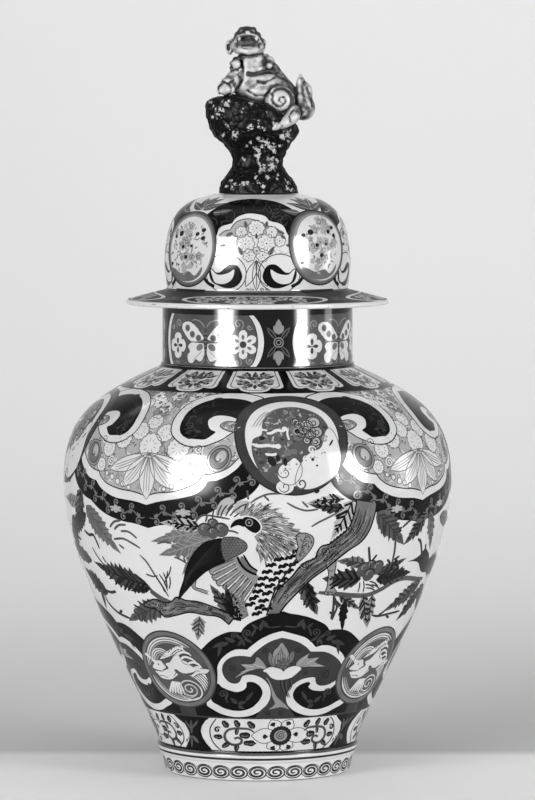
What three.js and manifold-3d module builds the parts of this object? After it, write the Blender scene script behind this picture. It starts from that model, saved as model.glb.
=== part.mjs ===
// A covered baluster jar of glazed porcelain, with a crouching lion on a rock as the cover's handle.
// Millimetres, +Z up. The origin is the middle of the foot, on the surface that the jar stands on. The
// lion looks towards -Y, and its tail is on the +X side.
//
// The potter threw the jar in three sections and luted them together with slip: the lower body with its
// foot, the shoulder and the neck. The cover is a dome with a wide flange, and a locating rim luted
// under it drops into the neck. The handle's pieces were pressed in moulds and luted in the same way:
// the rock, and the lion's body, head, legs and tail.
import * as THREE from "three";
import { mergeVertices } from "three/addons/utils/BufferGeometryUtils.js";
import Module from "manifold-3d";

const wasm = await Module();
wasm.setup();

// Jar, from the ground up
const FOOT_RADIUS = 93;
const FOOT_SPREAD = 4; // radius gained between the ground and the cordon
const FOOT_HEIGHT = 19; // from the ground to the cordon
const FOOT_RING_WIDTH = 11; // the ring that it stands on
const FOOT_CHAMFER = 1.5; // on both edges of that ring
const FOOT_RECESS = 9; // hollow under the base
const CORDON_HEIGHT = 11; // raised moulding above the foot
const CORDON_PROUD = 2.5;
const WAIST_RADIUS = 99.5; // just above the cordon
const WAIST_HANDLE = 31.5; // length of the wall curve's handle at the waist
const WAIST_LEAN = 12.5; // degrees that it leans out
const BELLY_RADIUS = 194.5;
const BELLY_HEIGHT = 286;
const BELLY_HANDLE_BELOW = 76;
const BELLY_HANDLE_ABOVE = 72;
const SHOULDER_RADIUS = 98; // where the shoulder meets the neck
const SHOULDER_RISE = 120.5; // from the belly to there
const SHOULDER_HANDLE = 74;
const SHOULDER_SLOPE = 25; // degrees
const NECK_RADIUS = 95.5;
const NECK_HEIGHT = 63.5; // from the shoulder to the mouth
const NECK_BLEND = 9; // height over which the shoulder turns into the neck
const NECK_SEAM = 3; // the luting line's height above the shoulder
const WALL = 8;
const BASE_THICKNESS = 12;
const FLOOR_ROUNDING = 14;

// Cover, from the mouth up
const FLANGE_RADIUS = 131.5;
const FLANGE_LIP = 6.2; // thickness of its edge
const FLANGE_DROP = 2.8; // how far the lip hangs below the seat
const FLANGE_RISE = 10; // from the lip's top to the foot of the dome
const SEAT_WIDTH = 12; // flat ring under the flange that rests on the jar's mouth
const DOME_FOOT_RADIUS = 90.5;
const DOME_RADIUS = 93.2;
const DOME_SPREAD_HEIGHT = 25; // from the dome's foot to its widest circle
const DOME_HEIGHT = 108; // from the mouth to the crown
const DOME_HANDLE = 67.5;
const CROWN_RADIUS = 43.5; // flat land that the rock stands on
const CROWN_HANDLE = 13.5;
const CROWN_SLOPE = 23; // degrees
const COVER_WALL = 7;
const RIM_DEPTH = 24;
const RIM_WALL = 5.5;
const RIM_PLAY = 3; // radial play of the locating rim in the neck

// Handle
const ROCK_HEIGHT = 88;
const ROCK_HALF_WIDTH = 48;
const ROCK_DEPTH_SHARE = 0.82; // its depth front to back, over its width
const ROCK_SLOPE_SHARE = 0.3; // fall of its top towards the tail
const ROCK_LEVEL_SHARE = 0.5; // its rows lie level up to this share of its height
const ROCK_LUMP_SHARE = 0.02; // size of the lumps round it
const LION_SIZE = 80; // from the rock to the top of its head
const LION_FOOTING = 3; // how far its pieces reach into the rock's top
const FAR_FORELEG_SHIFT_SHARE = 0.06; // the far foreleg stands this much nearer the tail
const LUTING_GAP = 0.3; // seam between two pressed pieces

// Fineness
const ROUND_STEPS = 40;
const CURVE_STEPS = 8;
const EDGE_STEPS = 4;
const ROCK_ROUND_STEPS = 24;
const ROCK_ROWS = 16;
const MASS_DETAIL = 2;

const porcelain = { color: 0xe4e4e2, roughness: 0.12, metalness: 0 };
const bareClay = { color: 0xc9c8c4, roughness: 0.7, metalness: 0 };
const blackLacquer = { color: 0x0d0d0d, roughness: 0.25, metalness: 0 };
const gilding = { color: 0x9a9a98, roughness: 0.3, metalness: 0.8 };

const point = (radius, height) => new THREE.Vector2(radius, height);

// A handle of a curve: its length, in a direction given in degrees from outward.
function handle(length, degrees) {
  return point(length, 0).rotateAround(point(0, 0), THREE.MathUtils.degToRad(degrees));
}

function curve(a, aHandle, bHandle, b, steps) {
  return new THREE.CubicBezierCurve(a, a.clone().add(aHandle), b.clone().add(bHandle), b).getPoints(steps);
}

// A half-round moulding from a up to b.
function bulge(a, b, proud) {
  const middle = a.clone().lerp(b, 1 / 2);
  const half = b.clone().sub(middle);
  const out = point(half.y, -half.x).setLength(proud);
  const steps = EDGE_STEPS * 2;
  return Array.from({ length: steps + 1 }, (_, i) => {
    const turn = Math.PI * (i / steps);
    return middle.clone().addScaledVector(half, -Math.cos(turn)).addScaledVector(out, Math.sin(turn));
  });
}

// The same line moved square to itself by the wall, to the side that the axis is on.
function insetFrom(points, wall) {
  return points.map((p, i) => {
    const before = points[Math.max(i - 1, 0)];
    const after = points[Math.min(i + 1, points.length - 1)];
    const along = after.clone().sub(before).setLength(wall);
    return point(p.x - along.y, p.y + along.x);
  });
}

// A profile of radius and height turned about the Z axis.
function turned(profile, steps = ROUND_STEPS) {
  const points = profile.filter((p, i) => i === 0 || !p.equals(profile[i - 1]));
  return new THREE.LatheGeometry(points, steps).rotateX(Math.PI / 2);
}

function node(name, geometry, look) {
  const mesh = new THREE.Mesh(geometry, new THREE.MeshStandardMaterial(look));
  mesh.name = name;
  return mesh;
}

// Lines that neighbouring sections share
const waist = point(WAIST_RADIUS, FOOT_HEIGHT + CORDON_HEIGHT);
const belly = point(BELLY_RADIUS, BELLY_HEIGHT);
const bellyInside = point(BELLY_RADIUS - WALL, BELLY_HEIGHT);
const shoulderEnd = point(SHOULDER_RADIUS, BELLY_HEIGHT + SHOULDER_RISE);
const neckBlendTop = point(NECK_RADIUS, shoulderEnd.y + NECK_BLEND);
const neckBlendSeam = point((SHOULDER_RADIUS + NECK_RADIUS) / 2, shoulderEnd.y + NECK_SEAM);
const neckBore = NECK_RADIUS - WALL;
const mouthHeight = shoulderEnd.y + NECK_HEIGHT;
const rimRadius = neckBore - RIM_PLAY;
const rimBore = rimRadius - RIM_WALL;
const crownHeight = mouthHeight + DOME_HEIGHT;
const lionFoot = crownHeight + ROCK_HEIGHT - LION_FOOTING;

function jarLowerBody() {
  const ringInner = FOOT_RADIUS - FOOT_RING_WIDTH;
  const floorHeight = FOOT_RECESS + BASE_THICKNESS;
  const outside = curve(
    waist,
    handle(WAIST_HANDLE, 90 - WAIST_LEAN),
    handle(BELLY_HANDLE_BELOW, -90),
    belly,
    CURVE_STEPS,
  );
  const inside = insetFrom(outside.slice(0, -1), WALL).filter((p) => p.y > floorHeight + FLOOR_ROUNDING);
  const wallFoot = inside[0];
  const floorCorner = point(wallFoot.x, floorHeight);
  const floorEdge = point(wallFoot.x - FLOOR_ROUNDING, floorHeight);
  return turned([
    point(0, FOOT_RECESS),
    point(ringInner, FOOT_RECESS),
    point(ringInner, FOOT_CHAMFER),
    point(ringInner + FOOT_CHAMFER, 0),
    point(FOOT_RADIUS - FOOT_CHAMFER, 0),
    point(FOOT_RADIUS, FOOT_CHAMFER),
    ...bulge(point(FOOT_RADIUS + FOOT_SPREAD, FOOT_HEIGHT), waist, CORDON_PROUD),
    ...outside,
    bellyInside,
    ...inside.reverse(),
    ...new THREE.QuadraticBezierCurve(wallFoot, floorCorner, floorEdge).getPoints(EDGE_STEPS),
    point(0, floorHeight),
  ]);
}

function jarShoulder() {
  const outside = curve(
    belly,
    handle(BELLY_HANDLE_ABOVE, 90),
    handle(SHOULDER_HANDLE, -SHOULDER_SLOPE),
    shoulderEnd,
    CURVE_STEPS,
  );
  const inside = insetFrom(outside.slice(1), WALL).filter((p) => p.x > neckBore);
  return turned([
    ...outside,
    neckBlendSeam,
    point(neckBore, neckBlendSeam.y),
    point(neckBore, inside[inside.length - 1].y),
    ...inside.reverse(),
    bellyInside,
    belly,
  ]);
}

function jarNeck() {
  return turned([
    point(neckBore, neckBlendSeam.y),
    neckBlendSeam,
    neckBlendTop,
    point(NECK_RADIUS, mouthHeight),
    point(neckBore, mouthHeight),
    point(neckBore, neckBlendSeam.y),
  ]);
}

function coverDome() {
  const lipRound = FLANGE_LIP / 2;
  const lipBottom = point(FLANGE_RADIUS - lipRound, mouthHeight - FLANGE_DROP);
  const lipTop = point(lipBottom.x, lipBottom.y + FLANGE_LIP);
  const domeFoot = point(DOME_FOOT_RADIUS, lipTop.y + FLANGE_RISE);
  const widest = point(DOME_RADIUS, domeFoot.y + DOME_SPREAD_HEIGHT);
  const crown = point(CROWN_RADIUS, crownHeight);
  const dome = curve(widest, handle(DOME_HANDLE, 90), handle(CROWN_HANDLE, -CROWN_SLOPE), crown, CURVE_STEPS);
  const ceiling = crownHeight - COVER_WALL;
  const inside = insetFrom(dome, COVER_WALL).filter((p) => p.y < ceiling);
  return turned([
    point(0, ceiling),
    point(CROWN_RADIUS - COVER_WALL, ceiling),
    ...inside.reverse(),
    point(domeFoot.x - COVER_WALL, domeFoot.y),
    point(rimBore, mouthHeight),
    point(neckBore + SEAT_WIDTH, mouthHeight),
    ...bulge(lipBottom, lipTop, lipRound),
    domeFoot,
    ...dome,
    point(0, crownHeight),
  ]);
}

function coverLocatingRim() {
  const bottom = mouthHeight - RIM_DEPTH;
  return turned([
    point(rimBore, bottom),
    point(rimRadius, bottom),
    point(rimRadius, mouthHeight),
    point(rimBore, mouthHeight),
    point(rimBore, bottom),
  ]);
}

function solid(geometry) {
  const merged = mergeVertices(geometry.deleteAttribute("normal").deleteAttribute("uv"));
  const vertProperties = merged.attributes.position.array;
  const triVerts = new Uint32Array(merged.index.array);
  return new wasm.Manifold(new wasm.Mesh({ numProp: 3, vertProperties, triVerts }));
}

function geometryOf(made) {
  const { vertProperties, triVerts } = made.getMesh();
  return new THREE.BufferGeometry()
    .setAttribute("position", new THREE.BufferAttribute(vertProperties, 3))
    .setIndex(new THREE.BufferAttribute(triVerts, 1));
}

// What is left of a solid once others are cut out of it, without the crumbs.
function cutBy(made, cutters) {
  const rest = cutters.reduce((left, cutter) => left.subtract(cutter), made);
  return rest.decompose().sort((a, b) => b.volume() - a.volume())[0];
}

// The rock from its foot up, each as a share of its half width, but for the last, of its height:
// half width, middle of that row towards the tail, height.
const rockShares = [
  [0.87, 0.01, 0],
  [0.77, 0.01, 0.15],
  [0.54, -0.03, 0.29],
  [0.56, -0.01, 0.43],
  [0.75, 0.01, 0.56],
  [0.95, -0.08, 0.7],
  [1.02, -0.1, 0.86],
  [0.88, -0.07, 0.93],
  [0.5, -0.05, 1],
];

// A turned form, flattened front to back, with each row moved sideways and the top rows sloped.
function rock(grow) {
  const line = new THREE.CatmullRomCurve3(rockShares.map((row) => new THREE.Vector3(...row)), false);
  const rows = line.getPoints(ROCK_ROWS);
  const foot = new THREE.Vector3(0, rows[0].y, 0);
  const top = new THREE.Vector3(0, rows[ROCK_ROWS].y, 1);
  const profile = [foot, ...rows, top];
  const shape = turned(profile.map((row) => point(row.x, row.z)), ROCK_ROUND_STEPS);
  const places = shape.attributes.position;
  for (let i = 0; i < places.count; i++) {
    const row = profile[i % profile.length];
    const angle = Math.PI * 2 * (Math.floor(i / profile.length) / ROCK_ROUND_STEPS);
    const lump = 1 + ROCK_LUMP_SHARE * (Math.cos(angle * 3 + row.z * 9) + Math.cos(angle * 7 - row.z * 13));
    const reach = row.x * lump * ROCK_HALF_WIDTH + (row.x > 0 ? grow : 0);
    const x = row.y * ROCK_HALF_WIDTH + reach * Math.sin(angle);
    const y = -reach * ROCK_DEPTH_SHARE * Math.cos(angle);
    const fall = ROCK_SLOPE_SHARE * THREE.MathUtils.smoothstep(row.z, ROCK_LEVEL_SHARE, 1);
    places.setXYZ(i, x, y, crownHeight + row.z * (ROCK_HEIGHT + grow) - fall * x);
  }
  return solid(shape);
}

// The lion's rounded masses, in shares of its size: the middle (towards the tail, away from the side
// that it faces, up from its feet) and the radii along the same three. The slant is in degrees.
const bodyMasses = [
  { at: [-0.13, -0.02, 0.42], radii: [0.19, 0.2, 0.27] },
  { at: [0.03, 0, 0.28], radii: [0.26, 0.21, 0.2], slant: 12 },
  { at: [0.26, 0.01, 0.22], radii: [0.18, 0.21, 0.2] },
  { at: [0.11, 0.01, 0.44], radii: [0.17, 0.17, 0.13], slant: 44 },
  { at: [-0.08, 0, 0.6], radii: [0.2, 0.18, 0.17] },
];
const headMasses = [
  { at: [-0.13, -0.03, 0.8], radii: [0.19, 0.19, 0.18] },
  { at: [-0.13, -0.02, 0.93], radii: [0.14, 0.17, 0.1] },
  { at: [-0.11, -0.14, 0.71], radii: [0.14, 0.16, 0.07] },
  { at: [-0.34, 0, 0.77], radii: [0.07, 0.06, 0.1], slant: 15 },
  { at: [0.05, 0, 0.8], radii: [0.06, 0.06, 0.11], slant: -8 },
  { at: [-0.13, 0.11, 0.83], radii: [0.17, 0.13, 0.17] },
];
const mouthMasses = [{ at: [-0.12, -0.22, 0.82], radii: [0.13, 0.16, 0.07] }];
const forelegMasses = [
  { at: [-0.25, -0.12, 0.52], radii: [0.11, 0.12, 0.14] },
  { at: [-0.32, -0.15, 0.36], radii: [0.11, 0.12, 0.13] },
  { at: [-0.42, -0.19, 0.26], radii: [0.1, 0.14, 0.12] },
];
const hindLegMasses = [
  { at: [0.3, -0.2, 0.09], radii: [0.18, 0.13, 0.19] },
  { at: [0.43, -0.27, -0.09], radii: [0.1, 0.1, 0.1] },
  { at: [0.32, -0.38, -0.18], radii: [0.19, 0.09, 0.07], slant: -24 },
];
const tailMasses = [
  { at: [0.48, 0.02, 0.1], radii: [0.12, 0.12, 0.11] },
  { at: [0.59, 0, 0.01], radii: [0.13, 0.12, 0.16] },
  { at: [0.57, 0, 0.16], radii: [0.09, 0.09, 0.19], slant: -12 },
  { at: [0.54, 0, 0.29], radii: [0.055, 0.05, 0.14], slant: -8 },
];

// The same masses on the side away from -Y.
const onFarSide = (masses, shift = 0) =>
  masses.map(({ at: [x, y, z], ...rest }) => ({ at: [x + shift, -y, z], ...rest }));

function moulded(masses, grow) {
  const lobes = masses.map(({ at, radii, slant = 0 }) =>
    solid(
      new THREE.IcosahedronGeometry(1, MASS_DETAIL)
        .scale(...radii.map((share) => share * LION_SIZE + grow))
        .rotateY(THREE.MathUtils.degToRad(slant))
        .translate(...at.map((share) => share * LION_SIZE))
        .translate(0, 0, lionFoot),
    ),
  );
  return lobes.reduce((sum, lobe) => sum.add(lobe));
}

// Each piece of the lion is cut to fit the pieces that it was luted to.
function lionPieces() {
  const farForelegMasses = onFarSide(forelegMasses, FAR_FORELEG_SHIFT_SHARE);
  const farHindLegMasses = onFarSide(hindLegMasses);
  const rockSeat = rock(LUTING_GAP);
  const bodySeat = moulded(bodyMasses, LUTING_GAP);
  const legSeats = [hindLegMasses, farHindLegMasses].map((masses) => moulded(masses, LUTING_GAP));
  return {
    lion_body: cutBy(moulded(bodyMasses, 0), [rockSeat]),
    lion_head: cutBy(moulded(headMasses, 0), [bodySeat, moulded(mouthMasses, 0)]),
    lion_near_foreleg: cutBy(moulded(forelegMasses, 0), [bodySeat, rockSeat]),
    lion_far_foreleg: cutBy(moulded(farForelegMasses, 0), [bodySeat, rockSeat]),
    lion_near_hind_leg: cutBy(moulded(hindLegMasses, 0), [bodySeat, rockSeat]),
    lion_far_hind_leg: cutBy(moulded(farHindLegMasses, 0), [bodySeat, rockSeat]),
    lion_tail: cutBy(moulded(tailMasses, 0), [bodySeat, rockSeat, ...legSeats]),
  };
}

const jar = new THREE.Group().add(
  node("jar_lower_body", jarLowerBody(), porcelain),
  node("jar_shoulder", jarShoulder(), porcelain),
  node("jar_neck", jarNeck(), porcelain),
);
const lion = Object.entries(lionPieces()).map(([name, made]) => node(name, geometryOf(made), gilding));
const cover = new THREE.Group().add(
  node("cover_dome", coverDome(), porcelain),
  node("cover_locating_rim", coverLocatingRim(), bareClay),
  node("finial_rock", geometryOf(rock(0)), blackLacquer),
  ...lion,
);

export default new THREE.Group().add(jar, cover);
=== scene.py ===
# The looks of the covered jar: its glaze, its painted decoration and its modelled handle.
import math
import random

import bpy
import numpy as np
import openvdb
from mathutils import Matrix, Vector, noise
from mathutils.geometry import delaunay_2d_cdt


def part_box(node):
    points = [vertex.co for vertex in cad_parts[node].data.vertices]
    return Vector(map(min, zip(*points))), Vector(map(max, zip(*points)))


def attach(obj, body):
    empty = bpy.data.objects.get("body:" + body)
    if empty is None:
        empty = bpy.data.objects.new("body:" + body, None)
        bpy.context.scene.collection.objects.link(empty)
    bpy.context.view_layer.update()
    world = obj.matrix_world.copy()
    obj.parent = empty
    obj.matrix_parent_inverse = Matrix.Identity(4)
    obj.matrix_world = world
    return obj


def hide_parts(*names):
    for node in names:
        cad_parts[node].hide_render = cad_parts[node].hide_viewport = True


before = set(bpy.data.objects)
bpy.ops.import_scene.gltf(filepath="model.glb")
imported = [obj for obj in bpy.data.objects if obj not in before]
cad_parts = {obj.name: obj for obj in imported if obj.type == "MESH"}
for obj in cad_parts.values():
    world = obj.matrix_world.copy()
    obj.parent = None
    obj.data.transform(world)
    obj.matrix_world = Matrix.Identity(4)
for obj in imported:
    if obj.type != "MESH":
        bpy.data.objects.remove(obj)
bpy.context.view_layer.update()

# Drawings are in millimetres on the skin of the pot: x to the right, y up along its outline.
MM = 0.001
COAT = 0.035  # thickness of one coat of colour
INSET = 0.55  # the bare glaze lies this far inside the CAD surface, so that the colours stay within it
ROUND_STEPS = 288
CORNER = math.radians(60)  # an outline that turns more than this has a sharp edge there
GRAIN_SHARE = {"jar": 0.02, "cover": 0.0175}  # triangle edges in painted shapes, for the body's radius
DARK_ENAMEL = 0.2  # tones below this are thick enamels, which shine less than the white glaze

# Painted colours, as linear greys
TONES = {
    "white": 0.72,
    "pale": 0.42,
    "silver": 0.27,
    "mid": 0.16,
    "iron": 0.095,
    "dark": 0.045,
    "shade": 0.02,
    "black": 0.004,
}


# Plane geometry

def points(*pairs):
    """Pairs of x and y, as an array."""
    return np.array(pairs, dtype=float).reshape(-1, 2)


def smooth(pts, closed=False, step=1.5):
    """A curve through given points, sampled every step."""
    pts = np.asarray(pts, dtype=float)
    ring = np.vstack([pts[-1:], pts, pts[:2]]) if closed else np.vstack([pts[:1], pts, pts[-1:]])
    out = []
    for a, b, c, d in zip(ring, ring[1:], ring[2:], ring[3:]):
        n = max(1, int(np.hypot(*(c - b)) / step))
        t = (np.arange(n) / n)[:, None]
        out.append(0.5 * (2 * b + (c - a) * t + (2 * a - 5 * b + 4 * c - d) * t**2
                          + (3 * b - a - 3 * c + d) * t**3))
    if not closed:
        out.append(pts[-1:])
    return np.vstack(out)


def curve(*pairs):
    """An open curve through given points."""
    return smooth(points(*pairs))


def closed_curve(*pairs):
    """A closed curve through given points."""
    return smooth(points(*pairs), closed=True)


def joined(runs):
    """Curves through given points that meet in sharp corners."""
    parts = [smooth(run) for run in runs]
    return np.vstack([*(part[:-1] for part in parts[:-1]), parts[-1]])


def dense(pts, step, closed=False):
    """The same run of points, with more of them on its long stretches."""
    pts = np.asarray(pts, dtype=float)
    ends = np.roll(pts, -1, axis=0) if closed else pts[1:]
    out = []
    for a, b in zip(pts, ends):
        n = max(1, math.ceil(math.dist(a, b) / step))
        out.append(a + (b - a) * (np.arange(n) / n)[:, None])
    if not closed:
        out.append(pts[-1:])
    return np.vstack(out)


def ellipse(cx, cy, rx, ry=None, turn=0.0, step=1.5):
    """An ellipse, or a circle where ry is left out, sampled every step."""
    ry = rx if ry is None else ry
    n = max(10, int(2 * math.pi * max(rx, ry) / step))
    t = np.arange(n) * 2 * math.pi / n
    c, s = math.cos(math.radians(turn)), math.sin(math.radians(turn))
    x, y = rx * np.cos(t), ry * np.sin(t)
    return np.stack([cx + x * c - y * s, cy + x * s + y * c], -1)


def spiral(cx, cy, radius, turns, start=0.0, squeeze=1.0, inner=0.1):
    """A spiral from the outside in. Positive turns run anticlockwise."""
    n = max(8, int(abs(turns) * max(14, radius * 3)))
    t = np.linspace(0, 1, n)
    angle = math.radians(start) + 2 * math.pi * turns * t
    r = radius * (1 - (1 - inner) * t)
    return np.stack([cx + r * np.cos(angle), cy + r * squeeze * np.sin(angle)], -1)


def moved(pts, x, y, turn=0.0):
    """The points turned about the origin, in degrees, and then shifted."""
    c, s = math.cos(math.radians(turn)), math.sin(math.radians(turn))
    return np.stack([x + pts[:, 0] * c - pts[:, 1] * s, y + pts[:, 0] * s + pts[:, 1] * c], -1)


def mirrored_run(half):
    """A run of points that starts at the left and ends on the middle line, and its mirror image."""
    half = np.asarray(half, dtype=float)
    return np.vstack([half, half[-2::-1] * (-1, 1)])


def stroke(x, y, length, turn, bow):
    """Three points of a bowed brush stroke from x and y. bow is the bend in its middle for its length."""
    return moved(points((0, 0), (length * 0.5, length * bow), (length, 0)), x, y, turn)


def leaf(x, y, length, width, turn, bend=0.0, lead=0.4):
    """A pointed leaf from its stem end, fullest at lead of its length, with its tip bent aside."""
    t = np.linspace(0, 1, 9)
    half = width / 2 * np.sin(np.pi * t ** math.log(0.5, lead)) ** 0.9
    side = bend * length * t**2
    up = np.stack([length * t, side + half], -1)
    down = np.stack([length * t, side - half], -1)[-2:0:-1]
    return moved(np.vstack([up, down]), x, y, turn)


def flower(x, y, count, inner, outer, roundness=0.8, start=90.0):
    """The outline of a flower with count notched petals."""
    n = count * 10
    angle = np.arange(n) * 2 * math.pi / n
    wave = np.abs(np.cos(angle * count / 2)) ** roundness
    r = inner + (outer - inner) * wave
    angle = angle + math.radians(start)
    return np.stack([x + r * np.cos(angle), y + r * np.sin(angle)], -1)


def inside(outline, grid):
    """Which points of a grid lie inside an outline."""
    result = np.zeros(len(grid), dtype=bool)
    x, y = grid[:, 0], grid[:, 1]
    for a, b in zip(outline, np.roll(outline, -1, axis=0)):
        crosses = (a[1] > y) != (b[1] > y)
        with np.errstate(divide="ignore", invalid="ignore"):
            at = a[0] + (y - a[1]) * (b[0] - a[0]) / (b[1] - a[1])
        result ^= crosses & (x < at)
    return result


# The skin that the colours lie on

class Skin:
    """The outside of a turned body, from the rings of its CAD nodes: radius, height and normal along it."""

    def __init__(self, body, nodes, closes_at_axis=False):
        self.body = body
        rings = set()
        for name in nodes:
            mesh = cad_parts[name].data
            for face in mesh.polygons:
                middle = Vector((face.center.x, face.center.y, 0))
                if face.normal.dot(middle.normalized()) < 0.03:
                    continue
                for i in face.vertices:
                    x, y, z = mesh.vertices[i].co / MM
                    rings.add((round(math.hypot(x, y), 1), round(z, 1)))
        rings = sorted(rings, key=lambda ring: ring[1])
        kept = [rings[0]]
        for ring in rings[1:]:
            if math.dist(ring, kept[-1]) > 0.3:
                kept.append(ring)
        self.rings = kept
        line = self.rounded(np.array(kept))
        if closes_at_axis:
            line = np.vstack([line, [0, line[-1, 1]]])
        along = np.gradient(line, axis=0)
        along /= np.hypot(*along.T)[:, None]
        self.normal = np.stack([along[:, 1], -along[:, 0]], -1)
        self.line = line - self.normal * INSET
        self.s = np.concatenate([[0], np.cumsum(np.hypot(*np.diff(self.line, axis=0).T))])

    @staticmethod
    def rounded(rings):
        """A smooth line through the rings, broken at the sharp edges."""
        steps = np.diff(rings, axis=0)
        heading = np.unwrap(np.arctan2(steps[:, 1], steps[:, 0]))
        corners = [i + 1 for i in range(len(heading) - 1) if abs(heading[i + 1] - heading[i]) > CORNER]
        ends = [0, *corners, len(rings) - 1]
        runs = [smooth(rings[a:b + 1], step=1.2) for a, b in zip(ends, ends[1:])]
        return np.vstack([run if i == 0 else run[1:] for i, run in enumerate(runs)])

    def at(self, s, column, source=None):
        return np.interp(s, self.s, (self.line if source is None else source)[:, column])

    def along_to(self, height):
        """How far along the outline a height is."""
        return float(np.interp(height, self.line[:, 1], self.s))

    def nearest(self, ring):
        """How far along the outline the point nearest to a ring is."""
        return float(self.s[np.argmin(np.hypot(*(self.line - ring).T))])

    def place(self, theta, s, lift):
        """Positions and normals, in metres, at angles from the front and distances along the outline."""
        nr, nz = self.at(s, 0, self.normal), self.at(s, 1, self.normal)
        size = np.hypot(nr, nz)
        nr, nz = nr / size, nz / size
        r = self.at(s, 0) + nr * lift
        z = self.at(s, 1) + nz * lift
        spot = np.stack([r * np.sin(theta), -r * np.cos(theta), z], -1) * MM
        normal = np.stack([nr * np.sin(theta), -nr * np.cos(theta), nz], -1)
        return spot, normal


jar_skin = Skin("jar", ["jar_lower_body", "jar_shoulder", "jar_neck"])
cover_skin = Skin("cover", ["cover_dome"], closes_at_axis=True)


# Materials

class Nodes:
    """The shader nodes of a material or a world, made and joined by short calls."""

    def __init__(self, owner):
        owner.use_nodes = True
        self.tree = owner.node_tree

    @staticmethod
    def set(node, **values):
        """Gives values to a node's inputs, which are named with _ for a space."""
        for name, value in values.items():
            node.inputs[name.replace("_", " ")].default_value = value
        return node

    def add(self, kind, **values):
        return self.set(self.tree.nodes.new("ShaderNode" + kind), **values)

    def shader(self, **values):
        return self.set(self.tree.nodes["Principled BSDF"], **values)

    def math(self, operation):
        node = self.add("Math")
        node.operation = operation
        return node

    def ramp(self, *stops):
        """Greys between stops, each a position and a grey, in rising order."""
        node = self.add("ValToRGB")
        elements = node.color_ramp.elements
        for element, (position, grey) in zip(elements, (stops[0], stops[-1])):
            element.position = position
            element.color = (grey, grey, grey, 1)
        for position, grey in stops[1:-1]:
            elements.new(position).color = (grey, grey, grey, 1)
        return node

    def link(self, source, output, target, socket):
        self.tree.links.new(source.outputs[output], target.inputs[socket])


def glaze(name, tone, roughness=0.09, mottle=0.05, mottle_scale=60.0, relief=0.0, gloss=0.5):
    """Painted and glazed porcelain: the colour pools a little, and the gloss ripples."""
    mat = bpy.data.materials.new(name)
    made = Nodes(mat)
    place = made.add("TexCoord")
    pooling = made.add("TexNoise", Scale=mottle_scale, Detail=5)
    ripple = made.add("TexNoise", Scale=35, Detail=2)
    ramp = made.ramp((0.3, tone * (1 - mottle * 2)), (0.7, min(tone * (1 + mottle), 0.95)))
    bump = made.add("Bump", Strength=0.12, Distance=0.0006 + relief)
    shader = made.shader(Roughness=roughness, IOR=1.5, Specular_IOR_Level=gloss)
    made.link(place, "Object", pooling, "Vector")
    made.link(place, "Object", ripple, "Vector")
    made.link(pooling, "Fac", ramp, "Fac")
    made.link(ramp, "Color", shader, "Base Color")
    made.link(ripple, "Fac", bump, "Height")
    made.link(bump, "Normal", shader, "Normal")
    return mat


paints, wet_paints, dull_paints = {}, {}, {}
for tone_name, grey in TONES.items():
    is_dark = grey < DARK_ENAMEL
    mottle = 0.12 if is_dark else 0.03
    paints[tone_name] = glaze("glaze_" + tone_name, grey, 0.16 if is_dark else 0.12, mottle,
                              gloss=0.12 if is_dark else 0.5)
    wet_paints[tone_name] = glaze("wet_" + tone_name, grey, 0.1, mottle, gloss=0.34 if is_dark else 0.5)
    dull_paints[tone_name] = glaze("dull_" + tone_name, grey, roughness=0.4, gloss=0.08)
porcelain = glaze("porcelain", 0.74, mottle=0.02, mottle_scale=12)
bare_clay = glaze("bare_clay", 0.5, roughness=0.6, mottle=0.06, mottle_scale=200, relief=0.0004)


def mesh_piece(name, spots, faces, normals, material, body):
    mesh = bpy.data.meshes.new(name)
    mesh.from_pydata([tuple(v) for v in spots], [], faces)
    mesh.materials.append(material)
    mesh.polygons.foreach_set("use_smooth", [True] * len(mesh.polygons))
    if normals is not None:
        mesh.normals_split_custom_set_from_vertices([tuple(n) for n in normals])
    piece = bpy.data.objects.new(name, mesh)
    bpy.context.scene.collection.objects.link(piece)
    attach(piece, body)
    return piece


# Painting

class Painting:
    """Collects shapes drawn on a skin, and makes one thin shell of each colour from them."""

    def __init__(self, skin, name, colours=paints):
        self.skin = skin
        self.name = name
        self.colours = colours
        self.grain = GRAIN_SHARE[skin.body] * skin.line[:, 0].max()
        self.shells = {}

    def shell(self, tone):
        return self.shells.setdefault(tone, {"spots": [], "normals": [], "faces": [], "count": 0})

    def add(self, tone, coat, theta, s, faces):
        spots, normals = self.skin.place(theta, s, coat * COAT)
        shell = self.shell(tone)
        shell["spots"].append(spots)
        shell["normals"].append(normals)
        shell["faces"].extend(tuple(i + shell["count"] for i in face) for face in faces)
        shell["count"] += len(spots)

    def band(self, tone, coat, low, high, step=2.5):
        """A plain band all round, between two distances along the outline, in rows of about a step."""
        rows = np.linspace(low, high, max(2, int((high - low) / step) + 1))
        turn = np.arange(ROUND_STEPS) * 2 * math.pi / ROUND_STEPS
        theta, s = np.tile(turn, len(rows)), np.repeat(rows, ROUND_STEPS)
        faces = []
        for row in range(len(rows) - 1):
            for i in range(ROUND_STEPS):
                j = (i + 1) % ROUND_STEPS
                a, b = row * ROUND_STEPS, (row + 1) * ROUND_STEPS
                faces.append((a + i, a + j, b + j, b + i))
        self.add(tone, coat, theta, s, faces)

    def spot(self, degrees, s):
        return Spot(self, math.radians(degrees), s)

    def spots(self, degrees, s, count=4):
        """The places of a motif that stands count times round the body."""
        return [self.spot(degrees + 360 / count * i, s) for i in range(count)]

    def finish(self):
        for tone, shell in self.shells.items():
            mesh_piece(f"{self.name}_{tone}", np.vstack(shell["spots"]), shell["faces"],
                       np.vstack(shell["normals"]), self.colours[tone], self.skin.body)


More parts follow.
